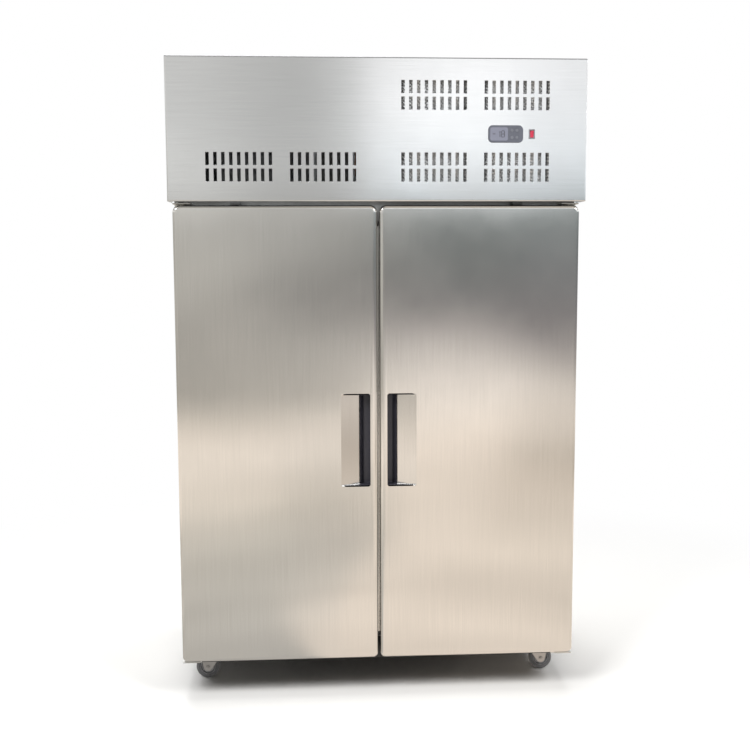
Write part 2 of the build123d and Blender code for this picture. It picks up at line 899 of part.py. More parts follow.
for side, direction in (("left", -1), ("right", 1)):
    kingpin_x = direction * castor_x
    trail = direction * castor_trail
    axle_x = kingpin_x + trail
    leg_front = front_plane(castor_front_y - leg_face - leg_sheet, axle_x, wheel_radius)
    leg_rear = front_plane(castor_front_y + leg_face, axle_x, wheel_radius)
    with BuildPart() as castor_fork:
        with BuildSketch(Plane((kingpin_x + trail / 2, castor_front_y, crown_bottom))):
            Rectangle(crown_width + castor_trail, 2 * (leg_face + leg_sheet))
        extrude(amount=crown_sheet)
        for plane in (leg_front, leg_rear):
            castor_leg(
                plane,
                min(0, -trail) - crown_width / 2,
                max(0, -trail) + crown_width / 2,
                crown_bottom - wheel_radius,
            )
        rod(
            Plane((kingpin_x, castor_front_y, crown_bottom)),
            kingpin_radius + fit,
            crown_sheet,
            Mode.SUBTRACT,
        )
        rod(leg_rear, axle_radius, 2 * leg_face)
    save(castor_fork, f"castor_fork_{side}")
    with BuildPart() as front_wheel:
        wheel_disc(front_plane(castor_front_y - wheel_width / 2, axle_x, wheel_radius))
    save(front_wheel, f"castor_wheel_front_{side}")

# Rear castors: rigid forks that roll forwards and back.
with BuildPart() as castor_forks_rear:
    for x in (-castor_x, castor_x):
        with BuildSketch(Plane((x, castor_rear_y, crown_bottom))):
            Rectangle(2 * (leg_face + leg_sheet), crown_width)
        extrude(amount=base - crown_bottom)
        for leg_x in (x + leg_face + leg_sheet, x - leg_face):
            castor_leg(
                Plane((leg_x, castor_rear_y, wheel_radius), x_dir=(0, 1, 0), z_dir=(1, 0, 0)),
                -crown_width / 2,
                crown_width / 2,
                crown_bottom - wheel_radius,
            )
        rod(Plane((x - leg_face, castor_rear_y, wheel_radius), z_dir=(1, 0, 0)), axle_radius, 2 * leg_face)
save(castor_forks_rear, "castor_forks_rear")

for side, x in (("left", -castor_x), ("right", castor_x)):
    with BuildPart() as rear_wheel:
        face = Plane((x + wheel_width / 2, castor_rear_y, wheel_radius), x_dir=(0, 1, 0), z_dir=(1, 0, 0))
        wheel_disc(face)
    save(rear_wheel, f"castor_wheel_rear_{side}")

# Left door, from which the right one is mirrored.
door_edge = -half
door_free = -centre_gap / 2
door_middle = (door_edge + door_free) / 2
door_width = door_free - door_edge
window_right = door_free - pull_inset
window_left = window_right - pull_width
window_bottom = door_bottom + pull_bottom
window_top = window_bottom + pull_height
window_middle = ((window_left + window_right) / 2, (window_bottom + window_top) / 2)


door_corners = (
    (0, door_free, door_top, door_top_corner),
    (90, door_edge, door_top, door_top_corner),
    (180, door_edge, door_bottom, door_bottom_corner),
    (270, door_free, door_bottom, door_bottom_corner),
)


def corner_point(corner, turn, inset):
    """Point part of the way round a rounded corner of the door, drawn in by an inset."""
    start, x, z, radius = corner
    inward = radians(start + 225)
    centre = Vector(x, z) + Vector(cos(inward), sin(inward)) * radius * sqrt(2)
    angle = radians(start) + pi / 2 * turn
    return centre + Vector(cos(angle), sin(angle)) * (radius - inset)


scoop_line = (
    (window_left, door_front + sheet),
    (window_left + ramp_width, door_front + ramp_depth),
    (window_left + trough_start, door_front + trough_depth),
    (window_right + pull_undercut, door_front + trough_depth),
    (window_right + pull_undercut, door_front + sheet),
)


def scoop_hollow(wall, mode=Mode.ADD):
    """Hollow of the door pull, or with a wall the body of the scoop round it."""
    with BuildSketch(Plane.XY.offset(window_bottom - wall)) as section:
        with BuildLine():
            FilletPolyline(*scoop_line, radius=scoop_bends)
            Line(scoop_line[-1], scoop_line[0])
        make_face()
        if wall:
            with BuildLine():
                FilletPolyline(*scoop_line, radius=scoop_bends)
                offset(amount=wall, side=Side.LEFT)
            make_face()
    extrude(section.sketch, amount=pull_height + 2 * wall, mode=mode)


def scoop_flange_block(mode=Mode.ADD):
    """Rim of the scoop, welded behind the skin."""
    block(
        (window_left - scoop_flange, door_free - door_front_fillet),
        (door_front + sheet, door_front + sheet + liner_sheet),
        (window_bottom - scoop_flange, window_top + scoop_flange),
        mode,
    )


def bush_seats(mode):
    """Square bushes at the two ends of the hinge edge, drawn solid."""
    size = bush_width / 2
    reach = pin_reach + clearance
    for z in ((door_bottom, door_bottom + reach), (door_top - reach, door_top)):
        block((-pin_x - size, -pin_x + size), (pin_y - size, pin_y + size), z, mode)


# Inside of the door skin, which the foam fills.
with BuildPart() as door_core:
    with BuildSketch(front_plane(door_back - sheet)):
        with BuildLine():
            Polyline(
                *[
                    corner_point(corner, step / core_step_count, sheet)
                    for corner in door_corners
                    for step in range(core_step_count + 1)
                ],
                close=True,
            )
        make_face()
    extrude(amount=door_thickness - 2 * sheet)
    chamfer(faces().sort_by(Axis.Y)[0].edges(), door_front_fillet - sheet)

# Door skin: one folded sheet with a rounded front edge, open at the back inside a narrow lip.
with BuildPart() as door_skin_left:
    with BuildSketch(front_plane(door_back)) as skin_outline:
        with Locations((door_middle, (door_bottom + door_top) / 2)):
            Rectangle(door_width, door_height)
        fillet(skin_outline.vertices().group_by(Axis.Y)[-1], door_top_corner)
        fillet(skin_outline.vertices().group_by(Axis.Y)[0], door_bottom_corner)
    extrude(amount=door_thickness)
    chamfer(faces().sort_by(Axis.Y)[0].edges(), door_front_fillet)
    add(door_core.part, mode=Mode.SUBTRACT)
    block(
        (door_edge + door_lip, door_free - door_lip),
        (door_back - sheet, door_back),
        (door_bottom + door_lip, door_top - door_lip),
        Mode.SUBTRACT,
    )
    with BuildSketch(front_plane(door_front + sheet)):
        with Locations(window_middle):
            RectangleRounded(pull_width, pull_height, pull_corner)
    extrude(amount=sheet, mode=Mode.SUBTRACT)
    bush_seats(Mode.SUBTRACT)
save(door_skin_left, "door_skin_left")

with BuildPart() as handle_scoop_left:
    scoop_hollow(liner_sheet)
    scoop_flange_block()
    scoop_hollow(0, Mode.SUBTRACT)
save(handle_scoop_left, "handle_scoop_left")

plug_x = (door_edge + plug_inset, door_free - plug_inset)
plug_z = (door_bottom + plug_inset, door_top - plug_inset)
with BuildPart() as door_foam_left:
    add(door_core.part)
    block(
        (plug_x[0] + sheet, plug_x[1] - sheet),
        (door_back - sheet, door_back + plug_rise - sheet),
        (plug_z[0] + sheet, plug_z[1] - sheet),
    )
    scoop_hollow(liner_sheet, Mode.SUBTRACT)
    scoop_flange_block(Mode.SUBTRACT)
    bush_seats(Mode.SUBTRACT)
save(door_foam_left, "door_foam_left")

# Door liner: flat ring inside the lip of the skin, with a raised middle.
with BuildPart() as door_liner_left:
    block(
        (door_edge + door_lip, door_free - door_lip),
        (door_back - sheet, door_back),
        (door_bottom + door_lip, door_top - door_lip),
    )
    block(plug_x, (door_back, door_back + plug_rise), plug_z)
    block(
        (plug_x[0] + sheet, plug_x[1] - sheet),
        (door_back - sheet, door_back + plug_rise - sheet),
        (plug_z[0] + sheet, plug_z[1] - sheet),
        Mode.SUBTRACT,
    )
save(door_liner_left, "door_liner_left")

# Magnetic gasket: dart base, narrow bellows and magnet head, in line with the hinge pins.
gasket_head = gasket_gap - gasket_clearance - gasket_base - gasket_neck
with BuildPart() as door_gasket_left:
    depth = door_back
    for thickness, shrink in (
        (gasket_base, 0),
        (gasket_neck, gasket_neck_inset),
        (gasket_head, gasket_magnet_inset),
    ):
        with BuildSketch(front_plane(depth + thickness)):
            with Locations((door_middle, (door_bottom + door_top) / 2)):
                outer = hinge_inset + shrink
                inner = hinge_inset + gasket_width - shrink
                Rectangle(door_width - 2 * outer, door_height - 2 * outer)
                Rectangle(door_width - 2 * inner, door_height - 2 * inner, mode=Mode.SUBTRACT)
        extrude(amount=thickness)
        depth += thickness
save(door_gasket_left, "door_gasket_left")

# Hinge bushes: square plastic sleeves in the door, with flanges that run on the brackets.
flange = bush_flange_width / 2
with BuildPart() as door_bushes_left:
    bush_seats(Mode.ADD)
    for z in (door_bottom - hinge_gap + clearance, door_top):
        block(
            (-pin_x - flange, -pin_x + flange),
            (pin_y - flange, pin_y + flange),
            (z, z + hinge_gap - clearance),
        )
    rod(Plane((-pin_x, pin_y, base)), pin_radius + fit, top - base, Mode.SUBTRACT)
save(door_bushes_left, "door_bushes_left")

for left_piece, name in (
    (door_skin_left, "door_skin_right"),
    (handle_scoop_left, "handle_scoop_right"),
    (door_foam_left, "door_foam_right"),
    (door_liner_left, "door_liner_right"),
    (door_gasket_left, "door_gasket_right"),
    (door_bushes_left, "door_bushes_right"),
):
    mirrored(left_piece, name)

# Fascia: folded pan with six groups of louvres, hung from a pivot in each side return.
with BuildPart() as fascia_panel:
    block((-fascia_half, fascia_half), (front, front + fascia_return), (fascia_bottom, top))
    offset(amount=-sheet, openings=faces().sort_by(Axis.Y)[-1])
    inside = (sheet - fascia_half, fascia_half - sheet)
    block(
        inside,
        (front + fascia_bottom_return, front + fascia_return),
        (fascia_bottom, fascia_bottom + sheet),
        Mode.SUBTRACT,
    )
    block(inside, (pivot_y, front + fascia_return), (top - sheet, top), Mode.SUBTRACT)
    for corner in (
        (inside[0], fold_allowance - half),
        (half - fold_allowance, inside[1]),
    ):
        block(corner, (pivot_y - pivot_notch, pivot_y), (top - sheet, top), Mode.SUBTRACT)
    with BuildSketch(front_plane(front + sheet, z=fascia_bottom)):
        for x, rise in (
            (-outer_louvre_x, lower_louvre_rise),
            (-inner_louvre_x, lower_louvre_rise),
            (inner_louvre_x, lower_louvre_rise),
            (outer_louvre_x, lower_louvre_rise),
            (inner_louvre_x, upper_louvre_rise),
            (outer_louvre_x, upper_louvre_rise),
        ):
            with Locations((x, rise)):
                with GridLocations(slot_pitch, slot_row_pitch, slot_column_count, 2):
                    Rectangle(slot_width, slot_height)
        with Locations((display_x, control_rise)):
            Rectangle(display_width - 2 * display_rim, display_height - 2 * display_rim)
        with Locations((switch_x, control_rise)):
            Rectangle(switch_width - 2 * switch_rim, switch_height - 2 * switch_rim)
    extrude(amount=sheet, mode=Mode.SUBTRACT)
    rod(
        Plane((-fascia_half, pivot_y, pivot_z), z_dir=(1, 0, 0)),
        stud_radius + fit,
        2 * fascia_half,
        Mode.SUBTRACT,
    )
save(fascia_panel, "fascia_panel")

# Pivot studs: welded to the side panels, one through each side return of the fascia.
with BuildPart() as fascia_pivots:
    for side in (-1, 1):
        rod(Plane((side * half, pivot_y, pivot_z), z_dir=(side, 0, 0)), stud_radius, fascia_overhang)
save(fascia_pivots, "fascia_pivots")

# Controller: electronics case behind the fascia, with a glossy front plate over the opening.
control_z = fascia_bottom + control_rise
with BuildPart() as controller_case:
    with BuildSketch(front_plane(front + display_depth, display_x, control_z)):
        Rectangle(display_width - 2 * display_rim, display_height - 2 * display_rim)
    extrude(amount=display_depth)
save(controller_case, "controller_case")

with BuildPart() as controller_lens:
    with BuildSketch(front_plane(front, display_x, control_z)):
        RectangleRounded(display_width, display_height, display_corner)
    extrude(amount=lens_proud)
save(controller_lens, "controller_lens")

# Power switch: a snap-in case, open to the front, in which the rocker tilts on its pivot.
pivot_depth = front + rocker_pivot_depth
rocker_half = switch_height / 2 - switch_rim - sheet
rocker_radius = rocker_half - clearance
with BuildPart() as power_switch_case:
    with BuildSketch(front_plane(front, switch_x, control_z)):
        Rectangle(switch_width, switch_height)
    extrude(amount=switch_bezel)
    with BuildSketch(front_plane(front + switch_depth, switch_x, control_z)):
        Rectangle(switch_width - 2 * switch_rim, switch_height - 2 * switch_rim)
    extrude(amount=switch_depth)
    with BuildSketch(front_plane(front + rocker_half + 2 * rocker_pivot_depth, switch_x, control_z)):
        Rectangle(switch_width - 2 * switch_rim - 2 * sheet, 2 * rocker_half)
    extrude(amount=2 * rocker_half + 4 * rocker_pivot_depth, mode=Mode.SUBTRACT)
save(power_switch_case, "power_switch_case")

with BuildPart() as power_rocker:
    rocker_width = switch_width - 2 * switch_rim - 2 * sheet - 2 * clearance
    with BuildSketch(Plane.YZ.offset(switch_x - rocker_width / 2)):
        with Locations((pivot_depth, control_z)):
            Circle(rocker_radius)
        tip_z = control_z + (control_proud - switch_bezel) / tan(radians(2 * rocker_tilt))
        with BuildLine():
            Polyline(
                (front - switch_height, control_z - rocker_half),
                (front - switch_bezel, control_z - rocker_half),
                (front - switch_bezel, control_z),
                (front - control_proud, tip_z),
                (front - control_proud, control_z + switch_height),
                (front - switch_height, control_z + switch_height),
                close=True,
            )
        make_face(mode=Mode.SUBTRACT)
    extrude(amount=rocker_width)
save(power_rocker, "power_rocker")
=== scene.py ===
import json
import math

import bmesh
import bpy
from mathutils import Matrix, Vector


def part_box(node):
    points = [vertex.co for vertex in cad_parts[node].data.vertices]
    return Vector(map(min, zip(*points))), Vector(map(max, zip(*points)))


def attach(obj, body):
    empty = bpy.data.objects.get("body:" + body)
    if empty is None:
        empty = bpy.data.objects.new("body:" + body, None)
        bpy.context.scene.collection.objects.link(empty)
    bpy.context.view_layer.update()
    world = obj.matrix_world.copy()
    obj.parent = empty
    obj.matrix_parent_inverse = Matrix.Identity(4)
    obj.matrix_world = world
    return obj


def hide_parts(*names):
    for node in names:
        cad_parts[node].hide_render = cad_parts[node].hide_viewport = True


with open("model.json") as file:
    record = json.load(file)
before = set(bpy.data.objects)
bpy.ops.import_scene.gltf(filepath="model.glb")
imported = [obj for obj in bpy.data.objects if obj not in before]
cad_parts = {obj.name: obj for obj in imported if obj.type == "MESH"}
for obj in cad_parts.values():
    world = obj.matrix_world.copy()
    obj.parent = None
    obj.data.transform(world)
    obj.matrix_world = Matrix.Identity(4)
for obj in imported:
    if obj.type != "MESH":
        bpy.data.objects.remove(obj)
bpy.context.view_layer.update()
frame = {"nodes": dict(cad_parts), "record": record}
nodes = frame["nodes"]

# Studio floor: a large round sheet of pale matt paper, which keeps the shadow near the cabinet
# and runs out into plain white.
floor_radius = 9.0
shadow_radius, white_radius = 1.0, 2.6


def stage_object(name, shape, finish):
    """Put a shape into the scene as a thing of the set."""
    mesh = bpy.data.meshes.new(name)
    shape.to_mesh(mesh)
    shape.free()
    mesh.materials.append(finish)
    thing = bpy.data.objects.new(name, mesh)
    bpy.context.scene.collection.objects.link(thing)
    return thing


def ranged(tree, value, low, high, from_low=0.0, from_high=1.0, smooth=False):
    """Spread a value of a shader from one range over another."""
    spread = tree.nodes.new("ShaderNodeMapRange")
    spread.interpolation_type = "SMOOTHSTEP" if smooth else "LINEAR"
    spread.inputs["From Min"].default_value = from_low
    spread.inputs["From Max"].default_value = from_high
    spread.inputs["To Min"].default_value = low
    spread.inputs["To Max"].default_value = high
    tree.links.new(value, spread.inputs["Value"])
    return spread.outputs[0]


def reckoned(tree, operation, *terms):
    """Reckon a value of a shader from other values and plain numbers."""
    sum_node = tree.nodes.new("ShaderNodeMath")
    sum_node.operation = operation
    for socket, term in zip(sum_node.inputs, terms):
        if isinstance(term, bpy.types.NodeSocket):
            tree.links.new(term, socket)
        else:
            socket.default_value = term
    return sum_node.outputs[0]


def length_of(tree, vector):
    """Length of a vector of a shader."""
    measure = tree.nodes.new("ShaderNodeVectorMath")
    measure.operation = "LENGTH"
    tree.links.new(vector, measure.inputs[0])
    return measure.outputs["Value"]


def seen(tree):
    """One where a ray comes from the camera, from a mirror or through glass, else nothing."""
    rays = tree.nodes.new("ShaderNodeLightPath")
    straight = reckoned(tree, "MAXIMUM", rays.outputs["Is Camera Ray"], rays.outputs["Is Glossy Ray"])
    return reckoned(tree, "MAXIMUM", straight, rays.outputs["Is Transmission Ray"])


def mixed(tree, share, first, second):
    """Mix two shaders by a share of the second."""
    mix = tree.nodes.new("ShaderNodeMixShader")
    for value, socket in zip((share, first.outputs[0], second.outputs[0]), mix.inputs):
        tree.links.new(value, socket)
    return mix.outputs[0]


paper = bpy.data.materials.new("studio_paper")
paper.use_nodes = True
tree = paper.node_tree
paper_shader = tree.nodes["Principled BSDF"]
paper_shader.inputs["Base Color"].default_value = (0.92, 0.915, 0.9, 1)
paper_shader.inputs["Roughness"].default_value = 0.9
paper_shader.inputs["Specular IOR Level"].default_value = 0.1
place = tree.nodes.new("ShaderNodeTexCoord").outputs["Object"]
run_out = ranged(tree, length_of(tree, place), 0, 1, shadow_radius, white_radius, smooth=True)
share = reckoned(tree, "MULTIPLY", run_out, seen(tree))
white = tree.nodes.new("ShaderNodeEmission")
paper_out = tree.nodes["Material Output"]
tree.links.new(mixed(tree, share, paper_shader, white), paper_out.inputs["Surface"])
floor_shape = bmesh.new()
bmesh.ops.create_circle(floor_shape, cap_ends=True, segments=96, radius=floor_radius)
floor = stage_object("studio_floor", floor_shape, paper)

# Studio room: plain white all round where it is seen, with a softer level of light on
# the cabinet.
room_level = 0.08
world = bpy.data.worlds.new("studio_room")
bpy.context.scene.world = world
world.use_nodes = True
tree = world.node_tree
tree.nodes.clear()
room_light = tree.nodes.new("ShaderNodeBackground")
room_light.inputs["Color"].default_value = (1, 1, 1, 1)
room_light.inputs["Strength"].default_value = room_level
room_white = tree.nodes.new("ShaderNodeBackground")
room_white.inputs["Color"].default_value = (1, 1, 1, 1)
room_white.inputs["Strength"].default_value = 1.0
room_out = tree.nodes.new("ShaderNodeOutputWorld")
tree.links.new(mixed(tree, seen(tree), room_light, room_white), room_out.inputs["Surface"])

# Reflector cards: a ring of soft grey and warm card round the set, lying on the floor out to an
# upright wall. Only the polished metal mirrors it, as it does in a real studio.
ring_inner, ring_radius, ring_height = 0.3, 6.8, 5.7
ring_gap = 0.004


def faced_out(shape):
    """Turn every face of a shape outwards."""
    bmesh.ops.recalc_face_normals(shape, faces=shape.faces[:])


def turned_round(shape, line, steps, centre=(0, 0, 0), out=(1, 0, 0), axis=(0, 0, 1), closed=False):
    """Turn a line once round an axis. Each point is a radius and a place along the axis."""
    centre, out, axis = Vector(centre), Vector(out), Vector(axis)
    points = [shape.verts.new(centre + out * radius + axis * along) for radius, along in line]
    onward = points[1:] + points[:1] if closed else points[1:]
    edges = [shape.edges.new(pair) for pair in zip(points, onward)]
    bmesh.ops.spin(
        shape, geom=points + edges, cent=centre, axis=axis, angle=2 * math.pi, steps=steps, use_merge=True
    )
    bmesh.ops.remove_doubles(shape, verts=shape.verts[:], dist=0.00001)
    faced_out(shape)


def mottled(tree, place, scale, detail=2.0, roughness=0.5):
    """Soft cloudy pattern over a surface."""
    clouds = tree.nodes.new("ShaderNodeTexNoise")
    clouds.inputs["Scale"].default_value = scale
    clouds.inputs["Detail"].default_value = detail
    clouds.inputs["Roughness"].default_value = roughness
    tree.links.new(place, clouds.inputs["Vector"])
    return clouds.outputs["Fac"]


def stretched(tree, place, scale):
    """Places on a surface, drawn together by a scale for each axis."""
    stretch = tree.nodes.new("ShaderNodeMapping")
    stretch.inputs["Scale"].default_value = scale
    tree.links.new(place, stretch.inputs["Vector"])
    return stretch.outputs[0]


def mirrored_only(thing):
    """Let a thing of the set be seen in polished surfaces alone."""
    for rays in ("camera", "diffuse", "shadow", "transmission"):
        setattr(thing, f"visible_{rays}", False)


card = bpy.data.materials.new("reflector_card")
card.use_nodes = True
tree = card.node_tree
tree.nodes.clear()
place = tree.nodes.new("ShaderNodeTexCoord").outputs["Object"]
parts = tree.nodes.new("ShaderNodeSeparateXYZ")
tree.links.new(place, parts.inputs[0])
flat = tree.nodes.new("ShaderNodeVectorMath")
flat.operation = "MULTIPLY"
flat.inputs[1].default_value = (1, 1, 0)
tree.links.new(place, flat.inputs[0])
travel = reckoned(tree, "ADD", length_of(tree, flat.outputs[0]), parts.outputs["Z"])
along = ranged(tree, travel, 0, 1, ring_inner, ring_radius + ring_height)
left_card = (
    (0.8, (0.62, 0.59, 0.55)),
    (1.6, (0.74, 0.7, 0.64)),
    (2.4, (0.74, 0.69, 0.62)),
    (3.2, (1.09, 0.98, 0.86)),
    (4.0, (1.23, 1.1, 0.98)),
    (5.1, (1.17, 1.04, 0.92)),
    (6.1, (0.94, 0.85, 0.75)),
    (6.9, (0.5, 0.475, 0.43)),
    (7.5, (0.57, 0.545, 0.505)),
    (8.1, (0.64, 0.62, 0.58)),
    (8.55, (0.56, 0.55, 0.53)),
    (8.72, (1.14, 1.13, 1.1)),
    (9.3, (0.86, 0.85, 0.83)),
    (9.8, (0.8, 0.785, 0.765)),
    (10.6, (0.8, 0.785, 0.765)),
    (11.6, (0.3, 0.3, 0.3)),
)
fold_card = (
    (0.8, (1.0, 0.89, 0.79)),
    (1.5, (0.84, 0.78, 0.71)),
    (2.4, (0.6, 0.56, 0.51)),
    (3.1, (0.72, 0.66, 0.58)),
    (4.0, (1.02, 0.93, 0.84)),
    (5.1, (1.02, 0.92, 0.83)),
    (6.1, (1.08, 0.98, 0.88)),
    (6.9, (0.52, 0.49, 0.45)),
    (7.4, (0.57, 0.545, 0.51)),
    (7.75, (0.32, 0.31, 0.3)),
    (8.2, (0.42, 0.415, 0.395)),
    (8.55, (0.44, 0.435, 0.42)),
    (8.72, (0.76, 0.755, 0.74)),
    (9.3, (0.66, 0.655, 0.64)),
    (10.6, (0.66, 0.65, 0.63)),
    (11.6, (0.3, 0.3, 0.3)),
)
right_card = (
    (0.8, (1.02, 0.9, 0.79)),
    (3.5, (1.15, 1.01, 0.88)),
    (5.0, (1.13, 0.99, 0.87)),
    (6.3, (1.28, 1.15, 1.03)),
    (6.95, (1.36, 1.25, 1.16)),
    (7.35, (0.78, 0.72, 0.69)),
    (7.6, (0.28, 0.265, 0.27)),
    (8.1, (0.19, 0.205, 0.205)),
    (8.54, (0.22, 0.25, 0.25)),
    (8.7, (1.55, 1.64, 1.7)),
    (9.0, (1.33, 1.36, 1.38)),
    (9.4, (1.34, 1.33, 1.33)),
    (10.5, (1.38, 1.36, 1.36)),
    (10.9, (0.35, 0.35, 0.35)),
)
far_card = (
    (0.8, (0.99, 0.87, 0.76)),
    (2.6, (1.03, 0.91, 0.79)),
    (3.3, (0.93, 0.81, 0.7)),
    (4.3, (0.64, 0.56, 0.48)),
    (5.2, (0.78, 0.69, 0.6)),
    (6.3, (1.1, 0.98, 0.87)),
    (6.95, (0.92, 0.84, 0.77)),
    (7.3, (0.42, 0.39, 0.38)),
    (7.6, (0.25, 0.235, 0.245)),
    (8.1, (0.2, 0.215, 0.225)),
    (8.54, (0.2, 0.23, 0.23)),
    (8.7, (1.32, 1.42, 1.48)),
    (9.3, (1.24, 1.24, 1.25)),
    (10.5, (1.22, 1.2, 1.2)),
    (10.9, (0.35, 0.35, 0.35)),
)
card_light = 1.75
tones = []
for stops in (left_card, fold_card, right_card, far_card):
    tone = tree.nodes.new("ShaderNodeValToRGB")
    tree.links.new(along, tone.inputs[0])
    while len(tone.color_ramp.elements) < len(stops):
        tone.color_ramp.elements.new(1.0)
    for element, (reach, colour) in zip(tone.color_ramp.elements, stops):
        element.position = (reach - ring_inner) / (ring_radius + ring_height - ring_inner)
        element.color = (*(part / card_light for part in colour), 1)
    tones.append(tone.outputs["Color"])
# The cards meet along lines of one slant, which is X over the distance in front, and the lines
# step sideways near the cabinet and high on the wall.
nearest_front = 0.6
near_start, near_end, near_step = 0.9, 2.2, 0.2
high_start, high_end, high_step = 8.5, 8.7, 0.03
card_joins = ((-0.16, -0.02), (0.03, 0.11), (0.235, 0.29))
before = reckoned(tree, "MULTIPLY", parts.outputs["Y"], -1.0)
in_front = reckoned(tree, "MAXIMUM", before, nearest_front)
slant = reckoned(tree, "DIVIDE", parts.outputs["X"], in_front)
high_shift = ranged(tree, travel, 0, high_step, high_start, high_end)
near_shift = ranged(tree, travel, near_step, 0, near_start, near_end)
shift = reckoned(tree, "ADD", high_shift, near_shift)
edge_line = reckoned(tree, "ADD", slant, shift)
beside = tones[0]
for tone, (join_left, join_right) in zip(tones[1:], card_joins):
    joined = tree.nodes.new("ShaderNodeMix")
    joined.data_type = "RGBA"
    across = ranged(tree, edge_line, 0, 1, join_left, join_right, smooth=True)
    tree.links.new(across, joined.inputs["Factor"])
    tree.links.new(beside, joined.inputs["A"])
    tree.links.new(tone, joined.inputs["B"])
    beside = joined.outputs["Result"]
# Clouds of light and shade lie over the cards, drawn out and leaning to one side.
cloud_lean = -0.22
cloud_scale = (0.45, 1.5, 1.0)
cloud_dark, cloud_light = 0.76, 1.22
lean = reckoned(tree, "MULTIPLY_ADD", parts.outputs["X"], cloud_lean, travel)
drift = tree.nodes.new("ShaderNodeCombineXYZ")
tree.links.new(parts.outputs["X"], drift.inputs["X"])
tree.links.new(lean, drift.inputs["Y"])
clouds = mottled(tree, stretched(tree, drift.outputs[0], cloud_scale), 1.0, 4.0)
level = ranged(tree, clouds, cloud_dark * card_light, cloud_light * card_light, 0.3, 0.7)
glow = tree.nodes.new("ShaderNodeEmission")
tree.links.new(beside, glow.inputs["Color"])
tree.links.new(level, glow.inputs["Strength"])
card_out = tree.nodes.new("ShaderNodeOutputMaterial")
tree.links.new(glow.outputs[0], card_out.inputs["Surface"])
ring_shape = bmesh.new()
ring_line = ((ring_inner, ring_gap), (ring_radius, ring_gap), (ring_radius, ring_height))
turned_round(ring_shape, ring_line, 72)
ring = stage_object("reflector_cards", ring_shape, card)
mirrored_only(ring)

# Ceiling card: a round grey cloth high over the set, so that the upper folds of the polished
# sheets stay darker than the white room.
ceiling_radius, ceiling_height = 6.8, 5.8
cloth_dark, cloth_light = 0.24, 0.36
cloth = bpy.data.materials.new("grey_cloth")
cloth.use_nodes = True
tree = cloth.node_tree
tree.nodes.clear()
place = tree.nodes.new("ShaderNodeTexCoord").outputs["Object"]
glow = tree.nodes.new("ShaderNodeEmission")
tree.links.new(ranged(tree, mottled(tree, place, 0.5), cloth_dark, cloth_light), glow.inputs["Strength"])
cloth_out = tree.nodes.new("ShaderNodeOutputMaterial")
tree.links.new(glow.outputs[0], cloth_out.inputs["Surface"])
ceiling_shape = bmesh.new()
bmesh.ops.create_circle(
    ceiling_shape,
    cap_ends=True,
    segments=48,
    radius=ceiling_radius,
    matrix=Matrix.Translation((0, 0, ceiling_height)),
)
ceiling = stage_object("ceiling_card", ceiling_shape, cloth)
mirrored_only(ceiling)

# Lamps: large soft boxes above the set, the main one at the left in front. The box overhead is
# kept out of mirrored rays, so the metal doesn't mirror it.
lamp_target = (0, 0, 1.0)
for lamp_name, lamp_place, lamp_size, lamp_power in (
    ("key_box", (-3.0, -3.6, 5.0), 2.4, 260),
    ("fill_box", (3.4, -3.2, 4.4), 2.4, 190),
    ("top_box", (0.0, 0.5, 5.4), 3.0, 150),
    ("back_box", (-1.0, 5.0, 4.4), 3.0, 150),
):
    lamp = bpy.data.lights.new(lamp_name, "AREA")
    lamp.size = lamp_size
    lamp.energy = lamp_power
    lamp_object = bpy.data.objects.new(lamp_name, lamp)
    bpy.context.scene.collection.objects.link(lamp_object)
    lamp_object.location = lamp_place
    aim = Vector(lamp_target) - Vector(lamp_place)
    lamp_object.rotation_mode = "QUATERNION"
    lamp_object.rotation_quaternion = aim.to_track_quat("-Z", "Y")
    lamp_object.visible_glossy = lamp_name != "top_box"

# Camera, where the photographer stood: a little left of the middle, at chest height, and looking
# slightly down.
image_width = 750
focal_pixels = 1100
sensor_width = 36
camera_place = (-0.222, -3.605, 1.358)
shift_right, shift_up = -0.5, 2.2
camera_data = bpy.data.cameras.new("camera")
camera_data.sensor_width = sensor_width
camera_data.lens = focal_pixels / image_width * sensor_width
camera_data.shift_x = shift_right / image_width
camera_data.shift_y = shift_up / image_width
camera = bpy.data.objects.new("camera", camera_data)
bpy.context.scene.collection.objects.link(camera)
yaw, pitch, roll = math.radians(3.73), math.radians(-6.47), math.radians(-0.19)
ahead = Vector((math.sin(yaw) * math.cos(pitch), math.cos(yaw) * math.cos(pitch), math.sin(pitch)))
level_right = Vector((math.cos(yaw), -math.sin(yaw), 0))
level_up = level_right.cross(ahead)
camera_right = level_right * math.cos(roll) + level_up * math.sin(roll)
camera_up = level_up * math.cos(roll) - level_right * math.sin(roll)
turn = Matrix((camera_right, camera_up, -ahead)).transposed().to_4x4()
camera.matrix_world = Matrix.Translation(camera_place) @ turn
bpy.context.scene.camera = camera
bpy.context.scene.view_settings.view_transform = "Standard"

# Side panels and back panel: one brushed stainless sheet for each side, folded in at the front
# and the back, and a galvanised sheet screwed inside the rear flanges.
record = frame["record"]
body_of = {node: body for body, group in record["behaviour"]["bodies"].items() for node in group}


